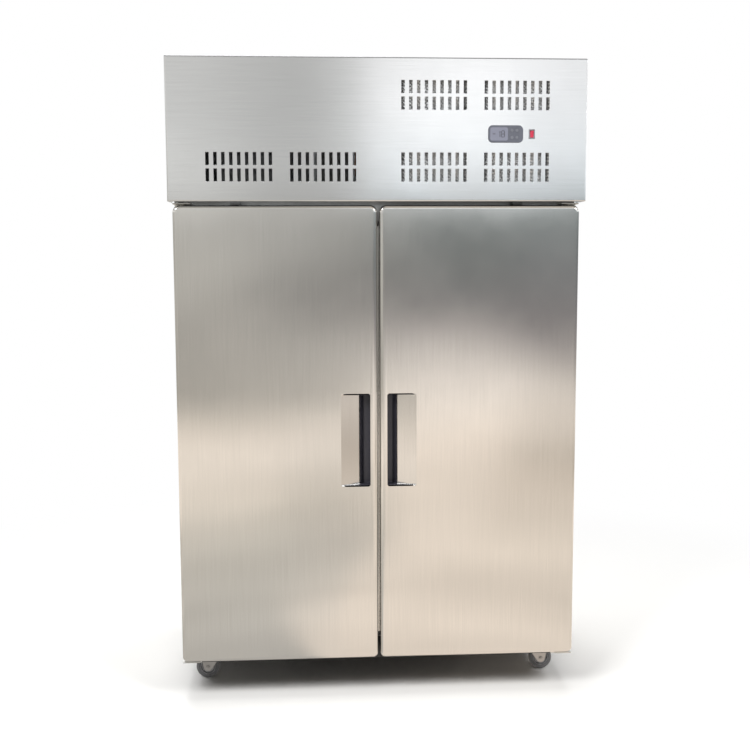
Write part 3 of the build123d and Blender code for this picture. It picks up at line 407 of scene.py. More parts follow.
def fitted(name, shape, finish, like, *hidden, sheet=0, outwards=False, edge=0, steps=2, crease=35):
    """Make a shape a finished piece that moves as a CAD node does, and hide the nodes it stands for.

    A sheet gets its thickness behind its face, or outwards, and an edge its radius.
    """
    mesh = bpy.data.meshes.new(name)
    shape.to_mesh(mesh)
    shape.free()
    mesh.materials.append(finish)
    mesh.shade_smooth()
    mesh.set_sharp_from_angle(angle=math.radians(crease))
    piece = bpy.data.objects.new(name, mesh)
    bpy.context.scene.collection.objects.link(piece)
    if sheet:
        wall = piece.modifiers.new("sheet", "SOLIDIFY")
        wall.thickness = sheet
        wall.offset = 1 if outwards else -1
        wall.use_even_offset = True
    if edge:
        rounding = piece.modifiers.new("edges", "BEVEL")
        rounding.width = edge
        rounding.segments = steps
        rounding.limit_method = "ANGLE"
        rounding.angle_limit = math.radians(30)
    shading = piece.modifiers.new("shading", "WEIGHTED_NORMAL")
    shading.keep_sharp = True
    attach(piece, body_of[like])
    if hidden:
        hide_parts(*hidden)
    return piece


def merged_copy(node):
    """Copy of a CAD node's mesh with its loose triangles joined into whole faces."""
    shape = bmesh.new()
    shape.from_mesh(nodes[node].data)
    bmesh.ops.remove_doubles(shape, verts=shape.verts[:], dist=0.00001)
    bmesh.ops.dissolve_limit(
        shape, angle_limit=math.radians(1), verts=shape.verts[:], edges=shape.edges[:], delimit=set()
    )
    return shape


def redressed(node, finish, edge=0.0005, steps=2):
    """Stand a copy of a CAD node, with small radii on its edges, in the node's place."""
    return fitted(node + "_finished", merged_copy(node), finish, node, node, edge=edge, steps=steps)


def new_finish(name):
    """Start a finish: its material, tree and shader, and the place on the piece that it goes by."""
    finish = bpy.data.materials.new(name)
    finish.use_nodes = True
    tree = finish.node_tree
    place = tree.nodes.new("ShaderNodeTexCoord").outputs["Object"]
    return finish, tree, tree.nodes["Principled BSDF"], place


def tinted(tree, shader, colour, tint):
    """Paint a surface in a colour that a tint makes lighter and darker."""
    paint = tree.nodes.new("ShaderNodeMix")
    paint.data_type = "RGBA"
    paint.blend_type = "MULTIPLY"
    paint.inputs["Factor"].default_value = 1.0
    paint.inputs["A"].default_value = (*colour, 1)
    tree.links.new(tint, paint.inputs["B"])
    tree.links.new(paint.outputs["Result"], shader.inputs["Base Color"])


def bumped(tree, shader, height, strength, distance, under=None):
    """Give a surface small bumps, on top of larger ones where they are given."""
    bumps = tree.nodes.new("ShaderNodeBump")
    bumps.inputs["Strength"].default_value = strength
    bumps.inputs["Distance"].default_value = distance
    tree.links.new(height, bumps.inputs["Height"])
    if under:
        tree.links.new(under, bumps.inputs["Normal"])
    tree.links.new(bumps.outputs[0], shader.inputs["Normal"])
    return bumps.outputs[0]


def celled(tree, place, scale):
    """Pattern of small cells over a surface."""
    cell_pattern = tree.nodes.new("ShaderNodeTexVoronoi")
    cell_pattern.inputs["Scale"].default_value = scale
    tree.links.new(place, cell_pattern.inputs["Vector"])
    return cell_pattern


def brushed_steel(name, grain, colour=(0.72, 0.71, 0.685), roughness=0.15, wave=0.25):
    """Brushed stainless sheet whose grain runs along X, Y or Z."""
    steel, tree, shader, place = new_finish(name)
    along_scale, across_scale = 6, 900
    shader.inputs["Metallic"].default_value = 1.0
    shader.inputs["Anisotropic"].default_value = 0.5
    shader.inputs["Anisotropic Rotation"].default_value = 0.25
    line_scale = [along_scale if axis == grain else across_scale for axis in "XYZ"]
    lines = mottled(tree, stretched(tree, place, line_scale), 1.0, 3.0)
    tinted(tree, shader, colour, ranged(tree, lines, 0.9, 1.06))
    smears = mottled(tree, place, 3.5, 5.0, 0.6)
    dullness = ranged(tree, smears, roughness * 0.8, roughness * 1.25, 0.3, 0.7)
    tree.links.new(dullness, shader.inputs["Roughness"])
    sheet_wave = bumped(tree, shader, mottled(tree, place, 2.2, 1.0), wave, 0.01)
    bumped(tree, shader, lines, 0.12, 0.0002, sheet_wave)
    direction = tree.nodes.new("ShaderNodeVectorTransform")
    direction.convert_from = "OBJECT"
    direction.convert_to = "WORLD"
    direction.inputs[0].default_value = [1.0 if axis == grain else 0.05 for axis in "XYZ"]
    tree.links.new(direction.outputs[0], shader.inputs["Tangent"])
    return steel


def zinc_sheet(name, colour=(0.56, 0.575, 0.585), spangle=110):
    """Galvanised sheet with its faint flakes of zinc."""
    zinc, tree, shader, place = new_finish(name)
    shader.inputs["Metallic"].default_value = 1.0
    flakes = tree.nodes.new("ShaderNodeRGBToBW")
    tree.links.new(celled(tree, place, spangle).outputs["Color"], flakes.inputs[0])
    tinted(tree, shader, colour, ranged(tree, flakes.outputs[0], 0.92, 1.06))
    tree.links.new(ranged(tree, flakes.outputs[0], 0.36, 0.46), shader.inputs["Roughness"])
    bumped(tree, shader, mottled(tree, place, 700), 0.25, 0.0001)
    return zinc


upright_steel = brushed_steel("upright_steel", "Z")
galvanised = zinc_sheet("galvanised_sheet")
redressed("side_panel_left", upright_steel, 0.0008)
redressed("side_panel_right", upright_steel, 0.0008)
redressed("back_panel", galvanised)

# Base pan and machine deck: folded sheets that close the insulated box below and above. The deck
# is galvanised; the pan is coated near black, as painted shade under the cabinet.
def moulded(name, colour, roughness=0.45, texture=1500, depth=0.00004, shade=0.08):
    """Moulded plastic or rubber with a fine skin and faint differences of shade."""
    plastic, tree, shader, place = new_finish(name)
    patches = mottled(tree, place, 14, 5.0)
    tinted(tree, shader, colour, ranged(tree, patches, 1 - shade, 1 + shade, 0.3, 0.7))
    dullness = ranged(tree, patches, roughness * 0.85, roughness * 1.15)
    tree.links.new(dullness, shader.inputs["Roughness"])
    bumped(tree, shader, mottled(tree, place, texture), 0.4, depth)
    return plastic


# Near black, as painted shade under the cabinet.
painted_shade_coat = moulded("painted_shade_coat", (0.03, 0.03, 0.03), 0.7, 500, 0.0001)
redressed("base_pan", painted_shade_coat)
redressed("machine_deck", galvanised)


# Insulation: rigid cream foam, blown in place between the sheets, with an open skin of fine
# cells where it can be seen.
def foamed(name, colour):
    """Rigid foam with fine cells and darker patches."""
    foam, tree, shader, place = new_finish(name)
    shader.inputs["Roughness"].default_value = 0.95
    tinted(tree, shader, colour, ranged(tree, mottled(tree, place, 25, 4.0), 0.75, 1.1))
    bumped(tree, shader, celled(tree, place, 900).outputs["Distance"], 0.5, 0.0006)
    return foam


def finish_node(node, finish):
    """Give a CAD node that keeps its shape its finish."""
    mesh = nodes[node].data
    mesh.materials.clear()
    mesh.materials.append(finish)


cream_foam = foamed("cream_foam", (0.78, 0.66, 0.4))
for node in ("insulation_foam", "door_foam_left", "door_foam_right"):
    finish_node(node, cream_foam)

# Liner: dull stainless sheets round the storage space, coved at the back corners, with a floor
# and a ceiling sheet set against them.
dull_steel = brushed_steel("dull_steel", "Z", (0.66, 0.66, 0.65), 0.34, 0.15)
floor_steel = brushed_steel("floor_steel", "X", (0.66, 0.66, 0.65), 0.34, 0.15)
finish_node("liner_walls", dull_steel)
finish_node("liner_floor", floor_steel)
finish_node("liner_ceiling", floor_steel)

# Breaker strips: light grey plastic bars snapped in between the steel frame and the liner, so
# that the cold of the liner doesn't reach the frame.
light_grey_plastic = moulded("light_grey_plastic", (0.62, 0.62, 0.6))
redressed("breaker_strips", light_grey_plastic, 0.001)

# Centre mullion: folded stainless channel between the two door openings, which the gaskets of
# both doors close on.
redressed("centre_mullion", upright_steel, 0.001)

# Top cover: brushed stainless lid over the machine space, folded down outside the side panels
# and held by screws along its flanges.
across_steel = brushed_steel("across_steel", "X", (0.7, 0.71, 0.715))
redressed("top_cover", across_steel, 0.0004)
zinc_steel = zinc_sheet("zinc_plated_steel", (0.62, 0.62, 0.6), 300)


def stud(shape, point, facing, foot_radius, top_radius, height, sides):
    """Short round or many-sided stud on a point of a surface; returns its corners."""
    facing = Vector(facing)
    turn = Vector((0, 0, 1)).rotation_difference(facing).to_matrix().to_4x4()
    return bmesh.ops.create_cone(
        shape,
        cap_ends=True,
        segments=sides,
        radius1=foot_radius,
        radius2=top_radius,
        depth=height,
        matrix=Matrix.Translation(Vector(point) + facing * height / 2) @ turn,
    )["verts"]


def screw_heads(name, like, finish, places, radius=0.0045, height=0.0022):
    """Domed screw heads on a surface; each place is a point and the way that the head faces."""
    shape = bmesh.new()
    head_sides = 14
    for point, facing in places:
        of_head = set(stud(shape, point, facing, radius, radius * 0.7, height, head_sides))
        caps = [
            face for face in shape.faces if len(face.verts) == head_sides and set(face.verts) <= of_head
        ]
        crown = max(caps, key=lambda face: face.calc_center_median().dot(Vector(facing)))
        bmesh.ops.inset_individual(shape, faces=[crown], thickness=radius * 0.32, depth=-height * 0.3)
    return fitted(name, shape, finish, like)


cover_low, cover_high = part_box("top_cover")
cover_screws = [
    ((edge, y, cover_high.z - 0.011), (side, 0, 0))
    for edge, side in ((cover_low.x, -1), (cover_high.x, 1))
    for y in (-0.2, 0.05, 0.3)
]
screw_heads("top_cover_screws", "top_cover", zinc_steel, cover_screws)

# Doors: each skin is one sheet of brushed stainless, folded back round all four edges on a full
# bend, with welded and dressed corners and a window cut for the pull.
door_fold = 0.010
door_top_corner, door_bottom_corner = 0.020, 0.015
door_lip = 0.014
skin_sheet = 0.0012
pull_inset, pull_width, pull_height = 0.022, 0.088, 0.283
pull_rise = 0.5355
pull_corner = 0.007
corner_steps = 8


def rounded_loop(shape, x, z, y, radii):
    """Loop of edges round a rectangle that faces the front, with a radius for each corner."""
    others = set(shape.faces)
    places = ((x[0], z[0]), (x[1], z[0]), (x[1], z[1]), (x[0], z[1]))
    corners = [shape.verts.new((at_x, y, at_z)) for at_x, at_z in places]
    shape.faces.new(corners)
    for corner, radius in zip(corners, radii):
        bmesh.ops.bevel(
            shape,
            geom=[corner],
            offset=radius,
            offset_type="OFFSET",
            segments=corner_steps,
            profile=0.5,
            affect="VERTICES",
            clamp_overlap=False,
            material=-1,
        )
    blank = [face for face in shape.faces if face not in others]
    edges = blank[0].edges[:]
    bmesh.ops.delete(shape, geom=blank, context="FACES_ONLY")
    return edges


def verts_of(parts):
    """Corner points among mixed parts of a shape."""
    return [part for part in parts if isinstance(part, bmesh.types.BMVert)]


def pulled(shape, edges, reach):
    """Draw a loop of edges out into a wall, and return its new edge loop."""
    wall = bmesh.ops.extrude_edge_only(shape, edges=edges)["geom"]
    ends = verts_of(wall)
    bmesh.ops.translate(shape, verts=ends, vec=reach)
    return [part for part in wall if isinstance(part, bmesh.types.BMEdge) and set(part.verts) <= set(ends)]


def rounded(shape, edges, radius, steps):
    """Bend edges of a shape round a radius."""
    bmesh.ops.bevel(
        shape, geom=edges, offset=radius, segments=steps, profile=0.5, affect="EDGES", material=-1
    )


def mirrored(shape):
    """Make a shape of the left side that of the right."""
    bmesh.ops.scale(shape, vec=(-1, 1, 1), verts=shape.verts[:])
    bmesh.ops.reverse_faces(shape, faces=shape.faces[:])


door_low, door_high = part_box("door_skin_left")
window_x = (door_high.x - pull_inset - pull_width, door_high.x - pull_inset)
window_z = (door_low.z + pull_rise, door_low.z + pull_rise + pull_height)
door_radii = (door_bottom_corner, door_bottom_corner, door_top_corner, door_top_corner)
for side in ("left", "right"):
    skin = bmesh.new()
    outline = rounded_loop(
        skin, (door_low.x, door_high.x), (door_low.z, door_high.z), door_low.y, door_radii
    )
    window = rounded_loop(skin, window_x, window_z, door_low.y, (pull_corner,) * 4)
    bmesh.ops.bridge_loops(skin, edges=outline + window)
    back_edge = pulled(skin, outline, (0, door_high.y - door_low.y, 0))
    lip = rounded_loop(
        skin,
        (door_low.x + door_lip, door_high.x - door_lip),
        (door_low.z + door_lip, door_high.z - door_lip),
        door_high.y,
        [max(radius - door_lip, 0.001) for radius in door_radii],
    )
    bmesh.ops.bridge_loops(skin, edges=back_edge + lip)
    rounded(skin, outline, door_fold, 6)
    faced_out(skin)
    if side == "right":
        mirrored(skin)
    node = f"door_skin_{side}"
    fitted(node + "_finished", skin, upright_steel, node, node, sheet=skin_sheet)

# Door pulls: scoops pressed from stainless sheet and welded behind the windows, with a ramp for
# the fingers and a deep trough hooked under the free edge.
ramp_width, ramp_depth = 0.060, 0.024
trough_start, trough_depth = 0.068, 0.038
pull_undercut = 0.009
scoop_rim = 0.010
scoop_bend = 0.007
scoop_sheet = 0.001
pressed_steel = brushed_steel("pressed_steel", "Z", (0.68, 0.67, 0.65), 0.17, 0.1)
scoop_back = door_low.y + skin_sheet


def upright_block(shape, outline, low_z, high_z):
    """Block with an upright wall on each line of an outline in X and Y."""
    base = shape.faces.new([shape.verts.new((x, y, low_z)) for x, y in outline])
    raised = bmesh.ops.extrude_face_region(shape, geom=[base])["geom"]
    bmesh.ops.translate(shape, verts=verts_of(raised), vec=(0, 0, high_z - low_z))


for side in ("left", "right"):
    scoop = bmesh.new()
    scoop_outline = (
        (window_x[0], scoop_back),
        (window_x[0] + ramp_width, door_low.y + ramp_depth),
        (window_x[0] + trough_start, door_low.y + trough_depth),
        (window_x[1] + pull_undercut, door_low.y + trough_depth),
        (window_x[1] + pull_undercut, scoop_back),
    )
    upright_block(scoop, scoop_outline, *window_z)
    mouth = [face for face in scoop.faces if all(abs(vert.co.y - scoop_back) < 1e-6 for vert in face.verts)]
    rim = mouth[0].edges[:]
    bmesh.ops.delete(scoop, geom=mouth, context="FACES_ONLY")
    rounded(scoop, [edge for edge in scoop.edges if edge not in rim], scoop_bend, 5)
    middle_x = sum(window_x) / 2
    middle_z = sum(window_z) / 2
    mouth_edges = [edge for edge in scoop.edges if edge.is_boundary]
    flange = bmesh.ops.extrude_edge_only(scoop, edges=mouth_edges)["geom"]
    for vert in verts_of(flange):
        vert.co.x += math.copysign(scoop_rim, vert.co.x - middle_x)
        vert.co.z += math.copysign(scoop_rim, vert.co.z - middle_z)
    faced_out(scoop)
    if side == "right":
        mirrored(scoop)
    node = f"handle_scoop_{side}"
    fitted(f"pull_{side}", scoop, pressed_steel, node, node, sheet=scoop_sheet)

# Pull shade liners: near black moulded sheets pressed into the pulls as painted shade, which
# cover the trough, where the finger tips hook in behind the edge, and the two ends.
shade_liner_plastic = moulded("shade_liner_plastic", (0.045, 0.043, 0.055), 0.38, 1200, 0.00003)
shade_liner_gap, shade_liner_end, shade_liner_lap = 0.0012, 0.0045, 0.004
shade_liner_bend, shade_liner_wall = 0.004, 0.0008
for side in ("left", "right"):
    shade_liner = bmesh.new()
    shade_liner_outline = (
        (window_x[0] + ramp_width - 0.001, door_low.y + ramp_depth - shade_liner_gap),
        (window_x[0] + trough_start, door_low.y + trough_depth - shade_liner_gap),
        (window_x[1] + pull_undercut - shade_liner_gap, door_low.y + trough_depth - shade_liner_gap),
        (window_x[1] + pull_undercut - shade_liner_gap, scoop_back + shade_liner_gap),
        (window_x[0] + shade_liner_lap, scoop_back + shade_liner_gap),
    )
    # Its two ends stay, as dark lines of painted shade along the top and bottom of the window.
    upright_block(shade_liner, shade_liner_outline, window_z[0] + shade_liner_end, window_z[1] - shade_liner_end)
    faced_out(shade_liner)
    open_sides = [
        face
        for face in shade_liner.faces
        if face.normal.y < -0.9
        or (abs(face.normal.z) < 0.1 and face.normal.x < -0.1 and face.calc_area() > 0.01)
    ]
    bmesh.ops.delete(shade_liner, geom=open_sides, context="FACES_ONLY")
    bmesh.ops.reverse_faces(shade_liner, faces=shade_liner.faces[:])
    corners = [edge for edge in shade_liner.edges if len(edge.link_faces) == 2]
    rounded(shade_liner, corners, shade_liner_bend, 4)
    if side == "right":
        mirrored(shade_liner)
    fitted(f"pull_shade_liner_{side}", shade_liner, shade_liner_plastic, f"handle_scoop_{side}", sheet=shade_liner_wall)

# Door liners: stainless sheets that close the backs of the doors, each with a raised middle
# panel, clipped inside the lip of the skin.
for side in ("left", "right"):
    redressed(f"door_liner_{side}", dull_steel, 0.001)

# Door gaskets: grey soft vinyl sections round the backs of the doors, with a magnet strip in the
# head and bellows that let it reach the frame.
grey_vinyl = moulded("grey_vinyl", (0.2, 0.205, 0.21), 0.55, 900, 0.00005)
for side in ("left", "right"):
    redressed(f"door_gasket_{side}", grey_vinyl, 0.0008)

# Hinges: folded plates of zinc plated steel, each screwed to the frame with two screws, with a
# welded pin, and nylon bushes in the doors that run on them.
natural_nylon = moulded("natural_nylon", (0.72, 0.7, 0.62), 0.4, 600, 0.00003)
redressed("hinge_brackets", zinc_steel, 0.001)
finish_node("hinge_pins", zinc_steel)
for side in ("left", "right"):
    finish_node(f"door_bushes_{side}", natural_nylon)
bracket_low, bracket_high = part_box("hinge_brackets")
bracket_face = bracket_high.y - 0.004
hinge_screw_x = (0.562, 0.586)
hinge_screws = [
    ((sign * x, bracket_face, z), (0, -1, 0))
    for sign in (-1, 1)
    for x in hinge_screw_x
    for z in (bracket_low.z + 0.011, bracket_high.z - 0.012)
]
screw_heads("hinge_screws", "hinge_brackets", zinc_steel, hinge_screws, 0.0042, 0.0018)

# Door switches: small sealed switches of grey plastic on the rail above the doors, which stop
# the fans while a door is open.
switch_plastic = moulded("switch_plastic", (0.3, 0.31, 0.32))
redressed("door_switches", switch_plastic, 0.0015, 3)

# Fascia: one pan of brushed stainless with the grain across, folded back on all sides, with six
# groups of punched air slots. It hangs on two studs and lifts for service.
fascia_bend = 0.0038
fascia_low, fascia_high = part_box("fascia_panel")
pan = merged_copy("fascia_panel")
front_rim = [
    edge
    for edge in pan.edges
    if all(abs(vert.co.y - fascia_low.y) < 1e-5 for vert in edge.verts)
    and (
        all(min(abs(vert.co.x - fascia_low.x), abs(vert.co.x - fascia_high.x)) < 1e-5 for vert in edge.verts)
        or all(vert.co.z - fascia_low.z < 1e-5 for vert in edge.verts)
        or all(fascia_high.z - vert.co.z < 1e-5 for vert in edge.verts)
    )
]
rounded(pan, front_rim, fascia_bend, 4)
fitted("fascia_finished", pan, across_steel, "fascia_panel", "fascia_panel", edge=0.0004, steps=1)
finish_node("fascia_pivots", zinc_steel)

# Air filter: a washable pad of expanded aluminium in a thin folded frame, clipped behind the
# louvres of the condenser, on the right-hand side.
pad_aluminium = zinc_sheet("pad_aluminium", (0.8, 0.81, 0.82), 700)
pad_x, pad_z = (0.035, 0.535), (fascia_low.z + 0.030, fascia_high.z - 0.030)
pad_y, pad_strand, pad_cell = fascia_low.y + 0.016, 0.0016, 0.0075
pad_ripple, pad_waves, least_hole = 0.003, 90, 0.0017
pad = bmesh.new()
pad_columns, pad_rows = int((pad_x[1] - pad_x[0]) / pad_cell), int((pad_z[1] - pad_z[0]) / (pad_cell * 0.7))
bmesh.ops.create_grid(pad, x_segments=pad_columns, y_segments=pad_rows, size=1)
for vert in pad.verts:
    row = round((vert.co.y + 1) / 2 * pad_rows)
    shift = 0.5 / pad_columns if row % 2 else -0.5 / pad_columns
    ripple = pad_ripple * math.sin(vert.co.x * pad_waves)
    vert.co = (
        pad_x[0] + (pad_x[1] - pad_x[0]) * (vert.co.x + 1 + shift) / 2,
        pad_y + ripple,
        pad_z[0] + (pad_z[1] - pad_z[0]) * (vert.co.y + 1) / 2,
    )
bmesh.ops.inset_individual(pad, faces=pad.faces[:], thickness=pad_strand)
cells = [face for face in pad.faces if face.calc_area() < (pad_cell - pad_strand) * pad_cell * 0.5]
holes = [
    face
    for face in cells
    if len(face.verts) == 4 and min(edge.calc_length() for edge in face.edges) > least_hole
]
bmesh.ops.delete(pad, geom=holes, context="FACES_ONLY")
fitted("air_filter", pad, pad_aluminium, "fascia_panel")

# Controller: a dark glossy front plate with round corners, clipped into the fascia, with a
# slightly paler display window let into it.
lens_low, lens_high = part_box("controller_lens")
lens_corner = 0.013
display_plate = moulded("display_plate", (0.1, 0.105, 0.13), 0.12, 200, 0.000005, 0.03)
display_glass = moulded("display_glass", (0.2, 0.205, 0.26), 0.08, 200, 0.000005, 0.03)


def front_plate(x, z, back, front, corner, radius, steps):
    """Small plate that faces the front, with round corners and a radius round its face."""
    plate = bmesh.new()
    back_edge = rounded_loop(plate, x, z, back, (corner,) * 4)
    front_edge = pulled(plate, back_edge, (0, front - back, 0))
    bmesh.ops.contextual_create(plate, geom=front_edge)
    bmesh.ops.contextual_create(plate, geom=back_edge)
    rounded(plate, front_edge, radius, steps)
    faced_out(plate)
    return plate


plate_x, plate_z = (lens_low.x, lens_high.x), (lens_low.z, lens_high.z)
plate = front_plate(plate_x, plate_z, lens_high.y, lens_low.y, lens_corner, 0.0018, 4)
fitted("controller_front", plate, display_plate, "controller_lens", "controller_lens")
glass_margin, glass_width, glass_corner = 0.006, 0.052, 0.006
glass_x = (lens_low.x + glass_margin, lens_low.x + glass_margin + glass_width)
glass_z = (lens_low.z + glass_margin, lens_high.z - glass_margin)
glass = front_plate(glass_x, glass_z, lens_low.y + 0.0006, lens_low.y - 0.0002, glass_corner, 0.0002, 2)
fitted("controller_window", glass, display_glass, "controller_lens")

# Digits of the display: seven thin bars each, dark on the pale window, showing a minus and
# two figures of degrees.
digit_ink = moulded("digit_ink", (0.03, 0.032, 0.04), 0.3, 200, 0.000005, 0.02)
digit_width, digit_height, bar_width = 0.0085, 0.018, 0.0016
segment_bars = {
    "top": ((0, 1), (1, 1)),
    "middle": ((0, 0), (1, 0)),
    "bottom": ((0, -1), (1, -1)),
    "upper_left": ((0, 0), (0, 1)),
    "upper_right": ((1, 0), (1, 1)),
    "lower_left": ((0, -1), (0, 0)),
    "lower_right": ((1, -1), (1, 0)),
}
shown_digits = (
    ("middle",),
    ("upper_right", "lower_right"),
    ("top", "middle", "bottom", "upper_left", "upper_right", "lower_left", "lower_right"),
)


def bar_block(shape, centre, size):
    """Plain block round a centre."""
    place = Matrix.Translation(centre) @ Matrix.Diagonal((*size, 1))
    bmesh.ops.create_cube(shape, size=1, matrix=place)


digits = bmesh.new()
digit_y, digit_start, digit_gap, ink_depth = lens_low.y - 0.0003, 0.007, 0.0045, 0.0003
for place_number, bars in enumerate(shown_digits):
    start_x = glass_x[0] + digit_start + place_number * (digit_width + digit_gap)
    for bar in bars:
        ends = [
            Vector((start_x + digit_width * across, digit_y, sum(glass_z) / 2 + digit_height / 2 * rise))
            for across, rise in segment_bars[bar]
        ]
        run = ends[1] - ends[0]
        shrunk = run.length - bar_width * 0.6
        size = (shrunk, ink_depth, bar_width) if run.x else (bar_width, ink_depth, shrunk)
        bar_block(digits, (ends[0] + ends[1]) / 2, size)
fitted("controller_digits", digits, digit_ink, "controller_lens", edge=0.0001, steps=1)

# Keys and case of the controller: four small round buttons beside the window, and the plain
# black case of the electronics behind the fascia.
key_grey = moulded("key_grey", (0.16, 0.165, 0.19), 0.35, 600, 0.00001, 0.04)
keys = bmesh.new()
key_x = (glass_x[1] + 0.012, glass_x[1] + 0.026)
key_z = (lens_low.z + 0.015, lens_high.z - 0.015)
key_y, key_foot, key_top, key_rise = lens_low.y + 0.00035, 0.0045, 0.0040, 0.0011
for x in key_x:
    for z in key_z:
        stud(keys, (x, key_y, z), (0, -1, 0), key_foot, key_top, key_rise, 24)
fitted("controller_keys", keys, key_grey, "controller_lens", edge=0.0003)
case_black = moulded("case_black", (0.03, 0.03, 0.033), 0.5)
redressed("controller_case", case_black, 0.0015)

# Power switch: a snap-in case of grey plastic with a red rocker that glows faintly when on, its
# face hollowed and marked with a bar and a ring.
switch_case = moulded("switch_case", (0.2, 0.2, 0.21), 0.4)
rocker_red = moulded("rocker_red", (0.52, 0.035, 0.075), 0.25, 400, 0.00001, 0.05)
rocker_shader = rocker_red.node_tree.nodes["Principled BSDF"]
rocker_shader.inputs["Emission Color"].default_value = (1.0, 0.08, 0.1, 1)
rocker_shader.inputs["Emission Strength"].default_value = 0.04
redressed("power_switch_case", switch_case, 0.0006, 3)
redressed("power_rocker", rocker_red, 0.0004, 2)

# Rear grille: galvanised sheet over the back of the machine space, with upright air slots, the
# metal of each left on along one edge and bent in as a vane.
redressed("rear_grille", galvanised)
grille_low, grille_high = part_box("rear_grille")
grille_pitch, grille_columns, vane_height = 0.070, 14, 0.240
vane_reach, vane_width, slot_half = 0.012, 0.014, 0.006
vanes = bmesh.new()
vane_low_z = (grille_low.z + grille_high.z - vane_height) / 2
for column in range(grille_columns):
    edge_x = (column - (grille_columns - 1) / 2) * grille_pitch - slot_half
    foot = [
        vanes.verts.new((edge_x, grille_low.y, vane_low_z)),
        vanes.verts.new((edge_x + vane_width, grille_low.y - vane_reach, vane_low_z)),
    ]
    pulled(vanes, [vanes.edges.new(foot)], (0, 0, vane_height))
fitted("rear_grille_vanes", vanes, galvanised, "rear_grille", sheet=0.0012)
rear_screw_x, rear_screw_z = (-0.585, -0.3, 0, 0.3, 0.585), (0.11, 0.55, 1.0, 1.49, 1.53, 1.9)
rear_screws = [
    ((x, grille_high.y, z), (0, 1, 0))
    for x in rear_screw_x
    for z in rear_screw_z
]
screw_heads("rear_screws", "back_panel", zinc_steel, rear_screws, 0.0045, 0.0011)

# Drain duct: flat duct of grey plastic that takes melt water from the drip tray into the back
# wall and down through the base pan.
drain_grey = moulded("drain_grey", (0.42, 0.42, 0.41))
redressed("drain_duct", drain_grey, 0.0015)

# Pilasters: channels of stainless strip, punched with a ladder of slots for the shelf clips and
# fixed upright to the walls and the mullion.
pilaster_width, pilaster_depth, pilaster_sheet = 0.024, 0.008, 0.0012
slot_pitch, slot_height, slot_width, slot_margin = 0.025, 0.013, 0.006, 0.006
pilaster_low, pilaster_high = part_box("shelf_pilasters")
strip_low, strip_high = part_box("shelves_left")
slot_steps = int((pilaster_high.z - pilaster_low.z) / slot_pitch)
ladder = bmesh.new()
rows = 2 * slot_steps + 1
bmesh.ops.create_grid(ladder, x_segments=3, y_segments=rows, size=1)
line_x = (-pilaster_width / 2, -slot_width / 2, slot_width / 2, pilaster_width / 2)
for vert in ladder.verts:
    column = round((vert.co.x + 1) / 2 * 3)
    row = round((vert.co.y + 1) / 2 * rows)
    rise = (row - 1) // 2 * slot_pitch + slot_margin + (slot_height if row % 2 == 0 else 0)
    rise = min(max(rise, 0), pilaster_high.z - pilaster_low.z)
    vert.co = (line_x[column], 0, pilaster_low.z + rise)
slots = [
    face
    for face in ladder.faces
    if abs(face.calc_center_median().x) < slot_width / 4
    and abs(face.calc_area() - slot_width * slot_height) < 2e-6
]
bmesh.ops.delete(ladder, geom=slots, context="FACES_ONLY")
for edge_x in (-pilaster_width / 2, pilaster_width / 2):
    side_edges = [edge for edge in ladder.edges if all(abs(vert.co.x - edge_x) < 1e-6 for vert in edge.verts)]
    pulled(ladder, side_edges, (0, pilaster_depth, 0))
ladder_mesh = bpy.data.meshes.new("pilaster_ladder")
ladder.to_mesh(ladder_mesh)
ladder.free()
strip_inset = 0.070
strip_y = (strip_low.y + strip_inset, strip_high.y - strip_inset)
pilaster_places = [
    (Vector((side * (pilaster_high.x - pilaster_depth), y, 0)), side * -math.pi / 2)
    for side in (-1, 1)
    for y in strip_y
]
pilaster_places.append((Vector((0, pilaster_low.y + pilaster_depth, 0)), math.pi))
pilaster_places.append((Vector((0, pilaster_high.y - pilaster_depth, 0)), 0.0))
pilasters = bmesh.new()
for point, turned in pilaster_places:
    added = set(pilasters.verts)
    pilasters.from_mesh(ladder_mesh)
    new_verts = [vert for vert in pilasters.verts if vert not in added]
    bmesh.ops.transform(
        pilasters, matrix=Matrix.Translation(point) @ Matrix.Rotation(turned, 4, "Z"), verts=new_verts
    )
faced_out(pilasters)
fitted(
    "pilasters", pilasters, dull_steel, "shelf_pilasters", "shelf_pilasters", sheet=pilaster_sheet, crease=25
)

# Shelf clips: bent stainless hooks that hang in the slots of the pilasters and carry the ends of
# the shelves.
clip_steel = brushed_steel("clip_steel", "X", (0.66, 0.66, 0.65), 0.3, 0.05)
redressed("shelf_clips", clip_steel, 0.0008)

# Shelves: stainless wire shelves in three levels on each side, a frame of bent rod with cross
# rods and thin wires welded to it from front to back.
shelf_rise, shelf_rod, shelf_wire = 0.305, 0.003, 0.0015
shelf_wires, cross_rods, shelf_levels, frame_bend = 24, 3, 3, 0.012
rod_steel = brushed_steel("rod_steel", "Y", (0.7, 0.7, 0.69), 0.22, 0.03)


def edges_round(ring):
    """Edges of a ring that run between its own corners."""
    return list({edge for vert in ring for edge in vert.link_edges if edge.other_vert(vert) in ring})


